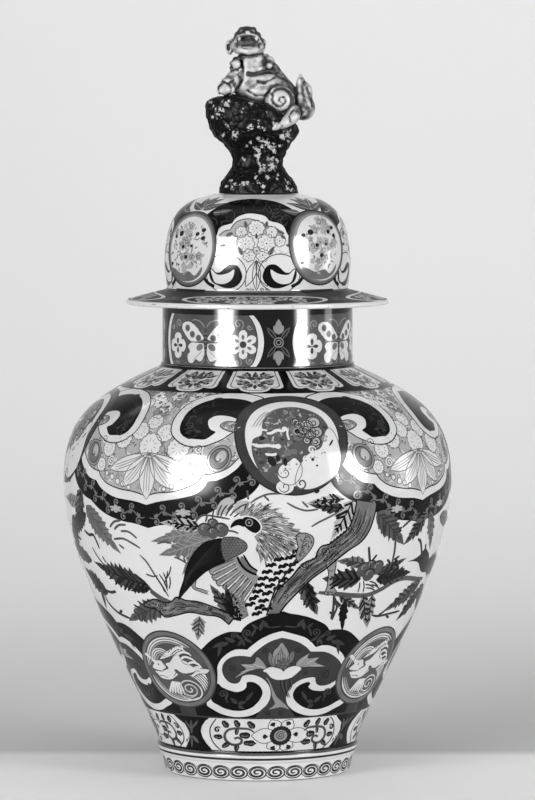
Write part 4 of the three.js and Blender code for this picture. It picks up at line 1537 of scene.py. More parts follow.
def paint_corner_scroll(spot, shift):
    """The white-edged black scroll at one side of a lappet, shifted outwards."""
    end, aside = points((104, 18)), (shift, 0)
    spot.fill("white", 7, np.vstack([SCROLL_BORDER, end]) + aside)
    spot.line("shade", 8, SCROLL_BORDER + aside, 1.2, 1, 1)
    spot.fill("black", 8, np.vstack([smooth(SCROLL_HOLLOW), end]) + aside)
    spot.edged("silver", 8, SCROLL_TONGUE + aside, "dark", 1.0, rise=1)
    brushwork(spot, 9, SCROLL_TONGUE + aside, 30, 3, ("iron", "white"), 5)
    brushwork(spot, 9, smooth(SCROLL_HOLLOW, closed=True) + aside, 30, 4, ("shade",), 11, 2.2)
    curl(spot, "dark", 9, 36 + shift, 2, 4.5, 180, -1.4, 1.2, tail=(33, 14))
    leaves(spot, "dark", 9, ((34 + shift, -6, 8, 3, 30), (42 + shift, -3, 8, 3, -10)))


def paint_collar():
    art = Painting(jar_skin, "collar")
    for spot in art.spots(COLLAR_TURN, COLLAR_MIDDLE):
        spot.fill("black", 1, np.vstack([joined(COLLAR_OUTER), points((-120, 0), (120, 0))]))
        top = points((-106, 40), (-60, 56), (0, 60), (60, 56), (98, 40))
        spot.fill("white", 2, np.vstack([joined(COLLAR_WHITE), top]))
        collar_ground(spot)
        spot.line("shade", 4, joined(COLLAR_INNER), 1.2, 1, 1)
        karakusa_bottom(spot)
        for side, shift in zip(spot.sides(), (0, 4)):
            paint_corner_scroll(side, shift)
    for spot in art.spots(LION_TURN, LION_MIDDLE):
        paint_medallion_lion(spot)
    art.finish()


# Shoulder ring: a black band with scalloped flower panels round the neck

RING_PANELS = 12
RING_TURN = -1.0
RING_BAND = (430.5, 478.0)
RING_MIDDLE = 460.6
RING_PANEL = mirrored_run(points(
    (21.5, 14), (23, 6), (24.5, 0), (26, -8), (27.5, -15), (27.6, -19), (24.5, -21.5), (20, -21.5),
    (15.5, -20.5), (13.5, -24.5), (8, -27.5), (0, -28),
))
RING_BLOSSOMS = (
    (0, -9, 5.6), (14, -8, 5), (-14, -8, 5), (9, -19, 4), (-9, -19, 4), (10, 4, 4.4), (-10, 4, 4.4),
)
RING_LEAVES = (
    (
        "dark",
        (
            (0, -6, 18, 6, 90), (2, -6, 17, 6, 62, -0.2), (-2, -6, 17, 6, 118, 0.2),
            (4, -11, 16, 7, 8, 0.25), (-4, -11, 16, 7, 172, -0.25), (2, -13, 12, 6, -40, 0.2),
            (-2, -13, 12, 6, -140, -0.2), (0, -14, 9, 4, -90), (9, -2, 12, 5, 30), (-9, -2, 12, 5, 150),
        ),
    ),
    (
        "black",
        (
            (12, 0, 12, 4.6, 96, 0.3), (-12, 0, 12, 4.6, 84, -0.3), (5, 2, 10, 4, 70), (-5, 2, 10, 4, 110),
            (18, -12, 7, 4, 200), (-18, -12, 7, 4, -20),
        ),
    ),
)


def paint_shoulder_ring():
    art = Painting(jar_skin, "shoulder_ring")
    art.band("black", 9, *RING_BAND)
    for seed, spot in enumerate(art.spots(RING_TURN, RING_MIDDLE, RING_PANELS)):
        for tone, coat, inset in (("white", 10, 0), ("shade", 11, 3.2), ("white", 12, 4.1)):
            outline = RING_PANEL * (1 - inset / 25, 1 - inset / 38) + (0, inset * 0.15)
            spot.fill(tone, coat, smooth(outline))
        brushwork(spot, 13, RING_PANEL * (0.7, 0.7), 40, seed, ("mid", "silver", "iron"), 6, 1.3)
        for tone, places in RING_LEAVES:
            leaves(spot, tone, 13, places)
        for x, y, radius in RING_BLOSSOMS:
            spot.fill("silver" if x else "pale", 14, flower(x, y, 5, radius * 0.5, radius, start=x * 9))
            spot.dot("dark", 15, x, y, radius * 0.28)
    art.finish()


# Neck: iron-grey panels with a butterfly between flowers, and black strips between the panels

NECK_TURN = -32.3
NECK_MIDDLE = 505.9
NECK_BAND = (409.8, 470)  # heights of the neck's foot and of the mouth
NECK_PANEL_SIDE = curve((50, -26.5), (55, -20), (58.5, -11), (60, 0), (58.5, 11), (55, 20), (50, 26.5))
LEFT_FLOWER = (-38.5, -4.5)
RIGHT_FLOWER = (39.5, -2)
NECK_CURLS = (  # x, y, radius, start and turns
    (35, 18, 5.5, -60, 1.3), (46, 15, 3, 0, -1.0), (34, -20, 4.5, 60, -1.3), (46, -18, 4, 120, 1.2),
    (-36, 17, 5, 240, -1.3), (-46, 14, 3, 180, 1.0), (-38, -22, 4, 120, 1.2), (-27, -23, 3, 60, -1.2),
    (20, -24, 3.4, 100, 1.2),
)
WING_TOP = closed_curve(
    (-2, 3), (-6, 9), (-13, 16), (-21, 19.5), (-29, 18), (-31.5, 13), (-28, 8), (-23, 3), (-18, 0), (-9, 0),
)
WING_BOTTOM = closed_curve(
    (-2, -2), (-11, -1), (-18, -1), (-22.5, -5), (-20, -10), (-23.5, -14), (-21.5, -20.5), (-16, -21.5),
    (-12, -17.5), (-7, -19.5), (-3, -17), (-1, -8),
)


def paint_butterfly(spot):
    for side in spot.sides():
        for wing in (WING_TOP, WING_BOTTOM):
            side.edged("white", 5, wing, "shade", 0.6)
        for x, y in ((-23, 13), (-16.5, 7), (-8.5, 3.5)):
            side.dot("iron", 6, x, y, 2.9)
            side.loop("silver", 6, ellipse(x, y, 3.3), 0.6)
        side.fill("mid", 6, ellipse(-7, -5.5, 4.4, 3.2, 30))
        side.line("silver", 6, curve((-4, -9), (-10, -14), (-15, -19)), 0.7)
        side.line("silver", 5, curve((-1, 14), (-5, 19), (-12, 21.5), (-17, 20.5)), 1.2)
        side.line("silver", 5, curve((-1, -17), (-6, -22), (-12, -21.5)), 1.0)
    spot.fill("dark", 7, leaf(0, -19, 33, 4.6, 90, 0, 0.6))
    for y in range(-12, 10, 4):
        spot.line("silver", 8, points((-1.5, y), (1.5, y)), 0.7, 1, 1)


def paint_neck_strip(spot):
    """The ornament of a black strip between two panels."""
    for turn in (52, 128, 232, 308):
        spot.fill("iron", 3, leaf(0, 0, 19, 4.6, turn, 0, 0.6))
        spot.fill("black", 4, leaf(*moved(points((2, 0)), 0, 0, turn)[0], 15, 1.8, turn, 0, 0.6))
    for y, turn in ((8, 90), (-8, 270)):
        for length, width, lean in ((15, 7, 0), (10, 5, -30), (10, 5, 30)):
            spot.fill("silver", 5, leaf(0, y, length, width, turn + lean, 0, 0.5))
    spot.dot("black", 6, 0, 0, 5.4)
    spot.loop("silver", 7, ellipse(0, 0, 4.6), 1.0)
    spot.loop("silver", 7, ellipse(0, 0, 2.4), 0.9)


def paint_neck():
    art = Painting(jar_skin, "neck", wet_paints)
    low, high = (jar_skin.along_to(height) for height in NECK_BAND)
    art.band("black", 1, low - 2, high - 1.2)
    art.band("iron", 2, low - 1.4, low + 0.3)
    outline = np.vstack([NECK_PANEL_SIDE, NECK_PANEL_SIDE * (-1, -1)])
    for spot in art.spots(NECK_TURN, NECK_MIDDLE):
        spot.fill("white", 2, outline)
        spot.fill("shade", 3, outline * (0.905, 1.0))
        spot.fill("iron", 4, outline * (0.89, 1.0))
        paint_butterfly(spot)
        spot.edged("white", 5, flower(*LEFT_FLOWER, 4, 8.5, 13, 0.5), "shade", 0.6)
        for turn in range(0, 360, 90):
            spot.fill("dark", 6, leaf(*LEFT_FLOWER, 8, 3.6, turn, 0, 0.6))
        spot.edged("white", 5, flower(*RIGHT_FLOWER, 6, 8, 14.5, 0.6, start=30), "shade", 0.6)
        spot.dot("dark", 6, *RIGHT_FLOWER, 3.4)
        for turn in range(30, 390, 60):
            spot.fill("mid", 6, moved(leaf(4.4, 0, 5.6, 3, 0, 0, 0.5), *RIGHT_FLOWER, turn))
        for place in NECK_CURLS:
            curl(spot, "silver", 5, *place, 1.2)
    for spot in art.spots(NECK_TURN + 45, NECK_MIDDLE):
        paint_neck_strip(spot)
    art.finish()


paint_collar()
paint_shoulder_ring()
paint_neck()


# Cover: oval panels on the flange, flower lappets and medallions on the dome

FLANGE_TURN = -1.5
FLANGE_MIDDLE = 20.5
FLANGE_OVAL = (77.0, 15.5)
FLANGE_EDGE = 7.5  # how far along the outline the flange's edge is left white
FLANGE_BLOSSOMS = (
    (-52, 0, 9), (-40, 3, 7), (-20, -4, 9), (-13, 5, 7), (-6, -5, 6), (4, -5, 7), (14, -4, 9), (10, 6, 7),
    (27, 5, 7), (42, 3, 8), (47, -3, 7), (-30, 6, 6), (0, 7, 5),
)
DOME_FOOT = 484.5  # height at which the flange ends
EDGE_NICKS = 26


def paint_flange():
    art = Painting(cover_skin, "flange", dull_paints)
    low, high = FLANGE_EDGE, cover_skin.along_to(DOME_FOOT)
    art.band("shade", 1, low, high)
    art.band("shade", 2, high - 1.6, high + 0.6)
    wide, tall = FLANGE_OVAL
    for spot in art.spots(FLANGE_TURN, FLANGE_MIDDLE):
        spot.fill("white", 3, ellipse(0, 0, wide, tall))
        spot.fill("shade", 4, ellipse(0, 0, wide - 6, tall - 2.4))
        for x, y, radius in FLANGE_BLOSSOMS:
            spot.fill("pale", 5, flower(x, y, 5, radius * 0.55, radius, 0.7, start=x))
            spot.fill("iron", 6, flower(x, y, 5, radius * 0.12, radius * 0.5, 0.7, start=x + 30))
        for x in (-17, -8, 5, 14):
            spot.fill("white", 6, ellipse(x, -6, 3.6, 5.2, 12))
    for spot in art.spots(FLANGE_TURN + 45, FLANGE_MIDDLE):
        leaves(spot, "iron", 3, (
            (0, 0, 12, 5, 0), (0, 0, 12, 5, 180), (0, 1, 10, 4, 60), (0, 1, 10, 4, 120),
        ))
    nicks = random.Random(3)
    for _ in range(EDGE_NICKS):
        spot = art.spot(nicks.uniform(0, 360), nicks.uniform(1.0, 4.5))
        spot.dot("iron", 1, 0, 0, nicks.uniform(0.5, 1.8), nicks.uniform(0.3, 0.8))
    art.finish()


DOME_TURN = -0.5
DOME_MIDDLE = 82.2
DOME_LINES = (483.8, 577.6)  # heights of the dark lines round its foot and its crown
DOME_SHIFT = (-4, 0)  # of the lappet's outline against its flowers
DOME_MEDALLIONS = ((43.0, 92.5), (133.0, 91.0), (223.0, 91.0), (310.7, 90.5))  # turn and middle of each
DOME_BAND = mirrored_run(points((-52, 36), (-50, 42), (-40, 51), (-30, 59), (-20, 65.5), (-10, 70), (0, 72)))
DOME_WHITE = (
    points((-36, 22), (-34, 28), (-30, 31), (-25, 32.5), (-20, 34)),
    points((-20, 34), (-17, 39), (-11, 43), (-4, 45), (4, 44.5), (12, 42), (16, 37)),
    points((16, 37), (20, 35.5), (26, 34), (31, 30.5), (34, 24)),
)
DOME_LINE = (
    points((-34, 21), (-30, 24.5), (-26, 26.5), (-22, 27)),
    points((-22, 27), (-19, 32), (-14, 36.5), (-5, 39), (3, 37.5), (9, 34.5), (14, 31)),
    points((14, 31), (20, 30), (26, 27), (30, 22)),
)
DOME_BLOSSOMS = (
    (-11, 13, 9.4, 9), (10, 13.5, 9.4, 9), (-7, 2, 6.5, 7), (6, 2, 6.5, 7), (0, 29, 8.4, 9), (-15, 25, 6, 7),
    (15, 25, 6, 7), (-24, 16, 6, 7), (23, 16, 6, 7), (0, 6.5, 3.6, 5),
)
DOME_LEAVES = (
    (-14, 2, 10, 4.6, 110, 0.1), (13, 2, 10, 4.6, 70, -0.1), (-23, 24, 9, 4, 200), (20, 26, 9, 4, -20),
    (-10, 29, 8, 4, 100), (9, 29, 8, 4, 80), (0, 18, 6, 3, 90), (24, 22, 7, 3.4, -40),
    (-30, 12, 8, 3.4, 190), (29, 12, 8, 3.4, -10),
)
CROWN_LEAVES = (
    (0, 50, 26, 9, 20, 0.1), (0, 50, 26, 9, 160, -0.1), (0, 52, 24, 9, 60), (0, 52, 24, 9, 120),
    (0, 54, 24, 9, 90), (16, 46, 20, 8, 0, 0.2), (-16, 46, 20, 8, 180, -0.2),
)
DOME_CURLS = ((-31, -16, 1), (23, -16, -1))  # middle of each curl and the side it opens to
CURL_RING = (21, 19)
CURL_COMMA = points(
    (-15, 5), (-10, 1), (-5, 1.5), (0, 6), (5, 9), (12, 8), (16, 2), (17, -4), (14, -10), (8, -14),
    (0, -14.5), (-8, -12), (-14, -9), (-17, -4), (-17.5, 2),
)
CURL_TONGUE = points(
    (9, 4), (4, 1), (-2, -1), (-9, -1), (-15.5, 4), (-14, -3), (-11, -9), (-3, -10.5), (4, -8), (8, -3),
)
CURL_FOLD = points((-12, -13), (-20, -9), (-27, 0))


def paint_dome_lappet(spot):
    band = np.vstack([smooth(DOME_BAND), points((52, -10), (-52, -10))])
    white = np.vstack([joined(DOME_WHITE), points((44, 10), (50, -36), (-50, -36), (-44, 10))])
    spot.fill("black", 1, band + DOME_SHIFT)
    brushwork(spot, 2, band + DOME_SHIFT, 170, 8, ("shade", "dark"), 12, 0.7)
    spot.fill("white", 3, white + DOME_SHIFT)
    shaded = np.vstack([joined(DOME_LINE), points((22, 14), (0, 24), (-26, 16))])
    spot.fill("pale", 4, shaded + DOME_SHIFT)
    spot.line("dark", 5, joined(DOME_LINE) + DOME_SHIFT, 1.0, 1, 1)
    for x, y, radius, petals in DOME_BLOSSOMS:
        spot.edged("white", 5, flower(x, y, petals, radius * 0.8, radius, 0.6, start=x * 7), "iron", 0.9)
        spot.dot("mid", 6, x, y, 0.9)
        spot.rays("silver", 6, (x, y), petals, radius * 0.3, radius * 0.62, 0.6)
    leaves(spot, "mid", 6, DOME_LEAVES, vein="shade")
    for turn, length, width in ((-90, 30, 8), (-112, 28, 9), (-68, 28, 9)):
        spot.edged("white", 5, leaf(0, -3, length, width, turn, 0, 0.5), "iron", 0.9, rise=1)
    spot.line("iron", 6, points((0, -3), (0, -31)), 0.9)
    for x in (-9, -4, 5, 10):
        curl(spot, "iron", 6, x, -32, 2.4, 60 * x, 1.1, 0.9)
    for x in (-22, -17, 17, 22):
        spot.line("pale", 4, curve((x, 8), (x * 1.2, 3), (x * 1.6, 6)), 0.8)
    for x, y, side in DOME_CURLS:
        ring = ellipse(x, y, *CURL_RING)
        spot.fill("white", 5, ring)
        spot.line("dark", 6, ring, 0.9, 1, 1)
        for tone, coat, outline in (("black", 7, CURL_COMMA), ("white", 8, CURL_TONGUE)):
            spot.fill(tone, coat, smooth(outline * (side, 1) + (x, y), closed=True))
        spot.line("black", 7, smooth(CURL_FOLD * (side, 1) + (x, y)), 3.4, 1, 0.3)


MEDALLION_SIZE = (37.5, 39.0)
MEDALLION_CLOUD = closed_curve(
    (-24, -20), (-16, -22), (-8, -25), (4, -23), (12, -27), (22, -18), (19, -26), (8, -32), (-8, -32.5),
    (-20, -27),
)
MEDALLION_BERRIES = (
    (-11, 14, 3.6), (13, 14, 2.6), (21, 10, 2.6), (-5, 1, 2.4), (7, 2, 1.8), (-20, 11, 2.4), (-24, -16, 2.2),
    (20, 18, 2.6), (0, -9, 2.6),
)


def paint_dome_medallion(spot, seed):
    rx, ry = MEDALLION_SIZE
    for tone, coat, inset in (("shade", 8, 0), ("iron", 9, 1.2), ("mid", 10, 3), ("silver", 11, 4.6)):
        spot.fill(tone, coat, ellipse(inset * 0.2, 0, rx - inset, ry - inset))
    spot.fill("white", 12, ellipse(1.6, -0.8, rx - 6.4, ry - 6))
    rng = random.Random(seed)
    spot.fill("mid", 13, MEDALLION_CLOUD)
    strokes = 90 if seed % 2 == 0 else 30
    brushwork(spot, 13, ellipse(0, 0, rx - 9), strokes, seed, ("silver", "mid", "pale"), 6, 1.6)
    for _ in range(22):
        angle, reach = rng.uniform(0, 6.28), rng.uniform(2, 25)
        x, y = reach * math.cos(angle), reach * math.sin(angle) + 2
        radius = rng.uniform(3, 6)
        spot.fill("pale", 13, flower(x, y, 5, radius * 0.6, radius, 0.7, start=rng.uniform(0, 90)))
        if rng.random() < 0.6:
            spot.line("mid", 14, spiral(x, y, radius * 0.7, 1.1, rng.uniform(0, 360)), 1.0)
    for x, y, radius in MEDALLION_BERRIES:
        spot.fill("shade", 15, ellipse(x, y, radius, radius * 0.8, 10, step=0.9))


def paint_dome():
    art = Painting(cover_skin, "dome")
    foot, crown = (cover_skin.along_to(height) for height in DOME_LINES)
    art.band("dark", 1, foot, foot + 1.2)
    for spot in art.spots(DOME_TURN, DOME_MIDDLE):
        paint_dome_lappet(spot)
    for spot in art.spots(DOME_TURN + 45, DOME_MIDDLE):
        leaves(spot, "iron", 2, CROWN_LEAVES, vein="pale")
    art.band("dark", 3, crown - 2.4, crown - 1.2)
    for seed, (turn, middle) in enumerate(DOME_MEDALLIONS, 1):
        paint_dome_medallion(art.spot(turn, middle), seed)
    art.finish()


paint_flange()
paint_dome()


# Handle: a gilded lion that crouches on a black rock. Lengths are in millimetres from the cover's axis, x
# towards the tail and -y to the front. Heights in its lists are from the level of the lion's feet.

LION_FOOT = 663.0
CELL = 0.85  # grid step of the modelled forms
BLEND = 3.0  # how softly neighbouring masses run together
HOLLOW_REACH = 3  # cells on each side over which hollows are felt, for the painted shade in them
ROCK_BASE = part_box("finial_rock")[0][2] / MM
TOP_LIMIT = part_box("lion_head")[1][2] / MM - LION_FOOT


class Block:
    """A grid of distances from which a form is modelled."""

    def __init__(self, low, high):
        axes = [np.arange(a, b, CELL) for a, b in zip(low, high)]
        self.low = np.array(low, dtype=float)
        self.x, self.y, self.z = np.meshgrid(*axes, indexing="ij", sparse=True)

    def egg(self, at, radii, slant=0.0):
        """An ellipsoid. slant, in degrees, raises its end towards the tail."""
        dx, dy, dz = self.x - at[0], self.y - at[1], self.z - at[2]
        c, s = math.cos(math.radians(slant)), math.sin(math.radians(slant))
        dx, dz = dx * c + dz * s, dz * c - dx * s
        k = np.sqrt((dx / radii[0]) ** 2 + (dy / radii[1]) ** 2 + (dz / radii[2]) ** 2)
        g = np.sqrt((dx / radii[0] ** 2) ** 2 + (dy / radii[1] ** 2) ** 2 + (dz / radii[2] ** 2) ** 2)
        return k * (k - 1) / np.maximum(g, 1e-6)

    def rope(self, spots, radii):
        """A rounded chain through spots, with a radius at each."""
        made = None
        for a, b, ra, rb in zip(spots, spots[1:], radii, radii[1:]):
            a, b = np.array(a, dtype=float), np.array(b, dtype=float)
            d = b - a
            t = ((self.x - a[0]) * d[0] + (self.y - a[1]) * d[1] + (self.z - a[2]) * d[2]) / d.dot(d)
            t = np.clip(t, 0, 1)
            away = np.sqrt((self.x - a[0] - d[0] * t) ** 2 + (self.y - a[1] - d[1] * t) ** 2
                           + (self.z - a[2] - d[2] * t) ** 2) - (ra + (rb - ra) * t)
            made = away if made is None else np.minimum(made, away)
        return made

    def groove(self, run, width, depth):
        """How deep a line drawn on the side view cuts in, on both flanks."""
        near = None
        for a, b in zip(run, run[1:]):
            dx, dz = b[0] - a[0], b[1] - a[1]
            t = np.clip(((self.x - a[0]) * dx + (self.z - a[1]) * dz) / (dx * dx + dz * dz), 0, 1)
            away = (self.x - a[0] - dx * t) ** 2 + (self.z - a[1] - dz * t) ** 2
            near = away if near is None else np.minimum(near, away)
        return depth * np.exp(-near / (width / 2) ** 2)


def merged(fields, blend=BLEND):
    """The softly blended sum of some forms."""
    made = fields[0]
    for field in fields[1:]:
        h = np.maximum(blend - np.abs(made - field), 0) / blend
        made = np.minimum(made, field) - h * h * blend / 4
    return made


LION_EGGS = {
    "lion_body": [
        ((-6.5, 0, 45), (15, 13.5, 14)), ((-8, -1, 32), (16, 15.5, 19)), ((-14, -2, 20), (11, 13, 9)),
        ((-2, 0, 34), (14, 15, 14)), ((7, 0, 25), (24, 15, 13), -32), ((3, -2, 16), (18, 14, 11)),
        ((24, 0, 14), (14, 14, 15)), ((12, -3, 46), (5, 6, 5.5)), ((9, 5, 48), (4, 6, 6)),
        ((17, -2, 39), (4.5, 6, 5)), ((11.5, -9, 42), (3.6, 4, 3.6)), ((11.5, 9, 42), (3.6, 4, 3.6)),
        ((5, -15, 29), (3.6, 3, 3)), ((5, 15, 29), (3.6, 3, 3)),
    ],
    "lion_head": [
        ((-10, 0, 65.5), (14.6, 14, 13.5)), ((-10.5, -2, 73.5), (10, 12, 7.6)),
        ((-9.5, -8, 57), (13, 11, 6)),
        ((-21, -6, 63), (5, 6, 7)), ((2, -6, 63), (4.6, 6, 8)), ((-10, -17.5, 74.5), (2.6, 2.4, 2)),
        ((-28, -1, 60), (4, 4.5, 7.4), 8), ((5.8, -1, 61.5), (2.6, 4.4, 7), -8),
        ((-15.5, -12.5, 75.5), (2.2, 2.2, 2)), ((-5, -12.5, 75.5), (2.2, 2.2, 2)),
    ],
    "lion_near_foreleg": [
        ((-21, -10, 42), (7, 8, 9)), ((-25, -13, 28), (7, 8, 8)), ((-31, -16, 20), (9, 9.5, 9.4)),
        ((-35.5, -23, 17), (4.8, 4.4, 4.8)), ((-26.5, -24, 18), (4, 4, 4.6)), ((-31, -20, 27), (4, 4, 3)),
    ],
    "lion_near_hind_leg": [
        ((22.5, -13, 7), (15, 9, 15)), ((36, -15, -5), (7, 7, 8)), ((32, -21, -11), (8, 6, 6), 30),
        ((14, -29, -20), (4, 4, 3.6), 20), ((19, -32, -18), (4.6, 3.4, 3.6), 25),
        ((16, -25, -17), (4.4, 3.4, 3.4), 20),
    ],
    "lion_tail": [
        ((40, 1, 6), (8, 9, 10)), ((46, 0, 0), (11.5, 10, 12.5)), ((45, 0, 12), (9.5, 8, 14), -14),
        ((43, -8, 9), (4, 3, 4)), ((50.5, -7, 3), (4.4, 4, 5)), ((45, -9, -4), (4.2, 4, 4.4)),
        ((38.5, -7, -2), (3.6, 4, 4)), ((43, 8, 9), (4, 3, 4)), ((50.5, 7, 3), (4.4, 4, 5)),
        ((45, 9, -4), (4.2, 4, 4.4)), ((38.5, 7, -2), (3.6, 4, 4)),
    ],
}
LION_ROPES = {
    "lion_body": [(((6, 0, 50), (19, 0, 37), (33, 0, 20)), (4, 4, 4))],
    "lion_head": [
        (((-22.5, -11, 64), (-19, -15, 70.5), (-10, -17, 73.5), (-1, -15, 70.5), (3.5, -11, 64)),
         (2, 2, 2.4, 2, 2)),
        (((-21, -11, 61), (-16, -15.5, 57), (-9, -17, 55.6), (-2, -15.5, 57), (3, -11, 61)),
         (2.4, 2.8, 3, 2.8, 2.4)),
    ],
    "lion_near_hind_leg": [(((36, -19, -9), (27, -25, -14.5), (16, -29, -18.5)), (6, 5.4, 4.6))],
    "lion_tail": [(((44, 0, 16), (43.2, 0, 26), (43, 0, 32.5)), (7, 4.6, 1.6))],
}
MANE_ROWS = (  # depth, height, curl radius, count
    (6, 77.4, 3.4, 3), (9, 72, 3.8, 4), (12, 65, 4.2, 5), (12, 58, 4, 4),
)
MOUTH = ((-9.5, -19, 65.2), (12, 14, 7.2))
EAR_HOLLOWS = (((-29, -5, 60), (2, 3, 4.4)), ((6.6, -5.2, 62), (1.2, 2.2, 4)))
TONGUE = ((-9, -11, 58.8), (6.5, 7, 2.4))
ELBOW_KNOB = ((-22, -16, 44), (3.2, 2.6, 3.2))
DEEPEST_CUT = 2.6  # of the carved lines
HAUNCH = (22.5, 8)
GROOVES = (  # runs of x and height, width, depth. The last two are cut in the feet only.
    (spiral(*HAUNCH, 13, 0.8, 215, inner=0.8)[::2], 3.4, 2.0),
    (spiral(*HAUNCH, 8.6, 0.7, 150, inner=0.5)[::2], 3.0, 1.8),
    (spiral(24, 7, 4.4, 0.6, 60, inner=0.3)[::2], 2.2, 1.2),
    (((-9, 34), (-3, 33), (5, 35.5), (13, 36), (19, 39)), 4.6, 2.2),
    (((0, 26), (8, 25), (17, 30)), 2.4, 1.4), (((-10, 17), (-2, 12), (8, 12), (12, 17)), 2.6, 1.2),
    (((-12, 11), (-4, 6), (6, 3)), 2.0, 0.9), (((-16, 46), (-14, 38), (-15, 28), (-19, 20)), 2.6, 1.6),
    (((-26, 47), (-22, 49), (-17, 47), (-16, 42), (-19, 38), (-24, 38), (-26.5, 42)), 2.4, 1.4),
    (spiral(-32, 18, 6.4, 0.8, 120, inner=0.9), 2.2, 1.4),
    (((-39, 24), (-36, 27), (-30, 24), (-25, 26)), 2.2, 1.4), (((49, 20), (52, 10), (54, 2)), 2.0, 1.2),
    (((44, 30), (45, 18), (46, 8)), 2.0, 1.2), (((39, 24), (39, 12)), 2.0, 1.0),
    (((35, -2), (32, -8), (33, -14)), 2.2, 1.4), (((17, -15), (14, -20)), 1.6, 1.2),
    (((22, -13), (19, -18)), 1.6, 1.2),
)
DARK_STROKES = (  # dark strokes over the gilding, painted shade in the grooves and under the jaw, and darker places along the back and on the crown of the head: runs of x and height, width, strength
    (((-18, 74), (-14, 78), (-10, 80), (-6, 78), (-2, 74)), 10, 1.4), (((2, 70), (6, 62)), 4, 0.6),
    (((-8, 33), (4, 35), (12, 36), (20, 40)), 5, 1.3), (((10, 47), (20, 38), (34, 22), (38, 10)), 8, 0.9),
    (((6, 46), (10, 40)), 5, 0.8), (((10, 12), (14, 21), (24, 22), (33, 15), (36, 4)), 5, 0.9),
    (((-21, 50), (-27, 44), (-26, 36)), 4, 0.7), (((-38, 27), (-30, 29), (-24, 30), (-23, 22)), 5, 0.8),
    (((-27, 66), (-31, 58), (-27, 53)), 3, 0.7), (((52, 14), (56, 2), (50, -9), (42, -12)), 4, 0.7),
    (((44, 30), (50, 16)), 3, 0.5), (((38, -2), (46, -6), (50, 2)), 7, 0.6),
    (((44, 26), (45, 14), (44, 0)), 12, 0.4), (((-20, 60), (-23, 66), (-19, 72), (-13, 74)), 4, 1.1),
    (((-6, 74), (0, 72), (4, 66), (1, 60)), 4, 1.1), (((-16, 53), (-8, 51.5), (0, 53)), 3, 1.0),
    (spiral(-21.5, 44, 6.5, 1, 0, inner=0.95), 2.6, 0.9), (spiral(-32, 18, 7, 1, 0, inner=0.95), 2.6, 0.8),
    (((10, -4), (2, 3), (-10, 8)), 3, 0.5),
)


def mane(block):
    """The rows of curls round the lion's face."""
    curls = []
    for depth, height, radius, count in MANE_ROWS:
        for i in range(count):
            across = -10 + (i - (count - 1) / 2) * radius * 1.75
            curls.append(block.egg(
                (across, depth - abs(across + 10) * 0.35, height), (radius, radius, radius),
            ))
    return merged(curls, 0.8)


def opened(block, head):
    """The head with its mouth and ears hollowed out, and with its teeth and tongue."""
    hollow = merged([block.egg(*MOUTH)] + [block.egg(*ear) for ear in EAR_HOLLOWS], 0.6)
    teeth = [block.egg((x, -17 + abs(x + 8.5) * 0.25, 58 + abs(x + 8.5) * 0.12), (1.5, 1.6, 2.2))
             for x in range(-17, 1, 3)]
    teeth += [block.egg((x, -15.5, 69), (1.4, 1.5, 3)) for x in (-18, -1)]
    return merged([np.maximum(head, -hollow), merged([*teeth, block.egg(*TONGUE)], 0.5)], 0.6)


def carving(block):
    """How deep the carved lines cut into the flanks. The face and the line of the back stay whole."""
    lines = sum(block.groove(*groove) for groove in GROOVES[:-2])
    feet = sum(block.groove(*groove) for groove in GROOVES[-2:]) * (block.z < -8)
    side = np.clip((np.abs(block.y) - 3) / 4, 0, 1)
    face = (block.z > 50) & (block.x < 8)
    return np.where(face, 0, np.minimum(lines + feet, DEEPEST_CUT) * side)


def lion_fields():
    """The distance field of each piece of the lion, and the blended and carved whole."""
    block = Block((-48, -42, -30), (62, 42, 84))
    parts = {}
    for name, eggs in LION_EGGS.items():
        made = merged([block.egg(*egg) for egg in eggs])
        for spots, radii in LION_ROPES.get(name, ()):
            made = merged([made, block.rope(spots, radii)], 1.6)
        parts[name] = made
    parts["lion_head"] = opened(block, merged([parts["lion_head"], mane(block)], 1.2))
    parts["lion_near_foreleg"] = merged([parts["lion_near_foreleg"], block.egg(*ELBOW_KNOB)], 0.6)
    back = {"lion_near_foreleg": "lion_far_foreleg", "lion_near_hind_leg": "lion_far_hind_leg"}
    for near, far in back.items():
        parts[far] = parts[near][:, ::-1, :]
    whole = merged(list(parts.values()), 1.4) + carving(block)
    whole = np.maximum(whole, block.z - (TOP_LIMIT - 0.4))
    return block, parts, whole


def recess(block, field):
    """How dark the gilding is painted at each place: painted shade, bright where it stands proud and dark in
    hollows, and darker along the dark strokes.
    """
    steps = (-HOLLOW_REACH, HOLLOW_REACH)
    around = sum(np.roll(field, step, axis) for axis in range(3) for step in steps) / 6
    # the dark strokes: painted shade in the grooves and under the jaw, and darker places on the back and
    # crown
    strokes = sum(block.groove(*stroke) for stroke in DARK_STROKES)
    return field - around + np.minimum(strokes, 1.4) * 0.62


def skin_of(block, field, hollow):
    """Spots and faces of the surface where a field is zero, and the value of hollow at each spot: on the
    lion, its painted shade.
    """
    grid = openvdb.FloatGrid()
    grid.copyFromArray(np.ascontiguousarray(field, dtype=np.float32))
    spots, faces = grid.convertToQuads(isovalue=0.0)
    at = np.clip(np.round(spots).astype(int), 0, np.array(field.shape) - 1)
    depth = hollow[at[:, 0], at[:, 1], at[:, 2]]
    spots = spots * CELL + block.low
    a, b, c = (spots[faces[:, i]] for i in range(3))
    if np.einsum("ij,ij->i", a, np.cross(b, c)).sum() < 0:
        faces = faces[:, ::-1]
    return spots, faces, depth


def attributed(name, spots, faces, values, material):
    piece = mesh_piece(name, spots * MM, [tuple(face) for face in faces], None, material, "cover")
    layer = piece.data.attributes.new("recess", "FLOAT", "POINT")
    layer.data.foreach_set("value", values.astype(np.float32))
    return piece


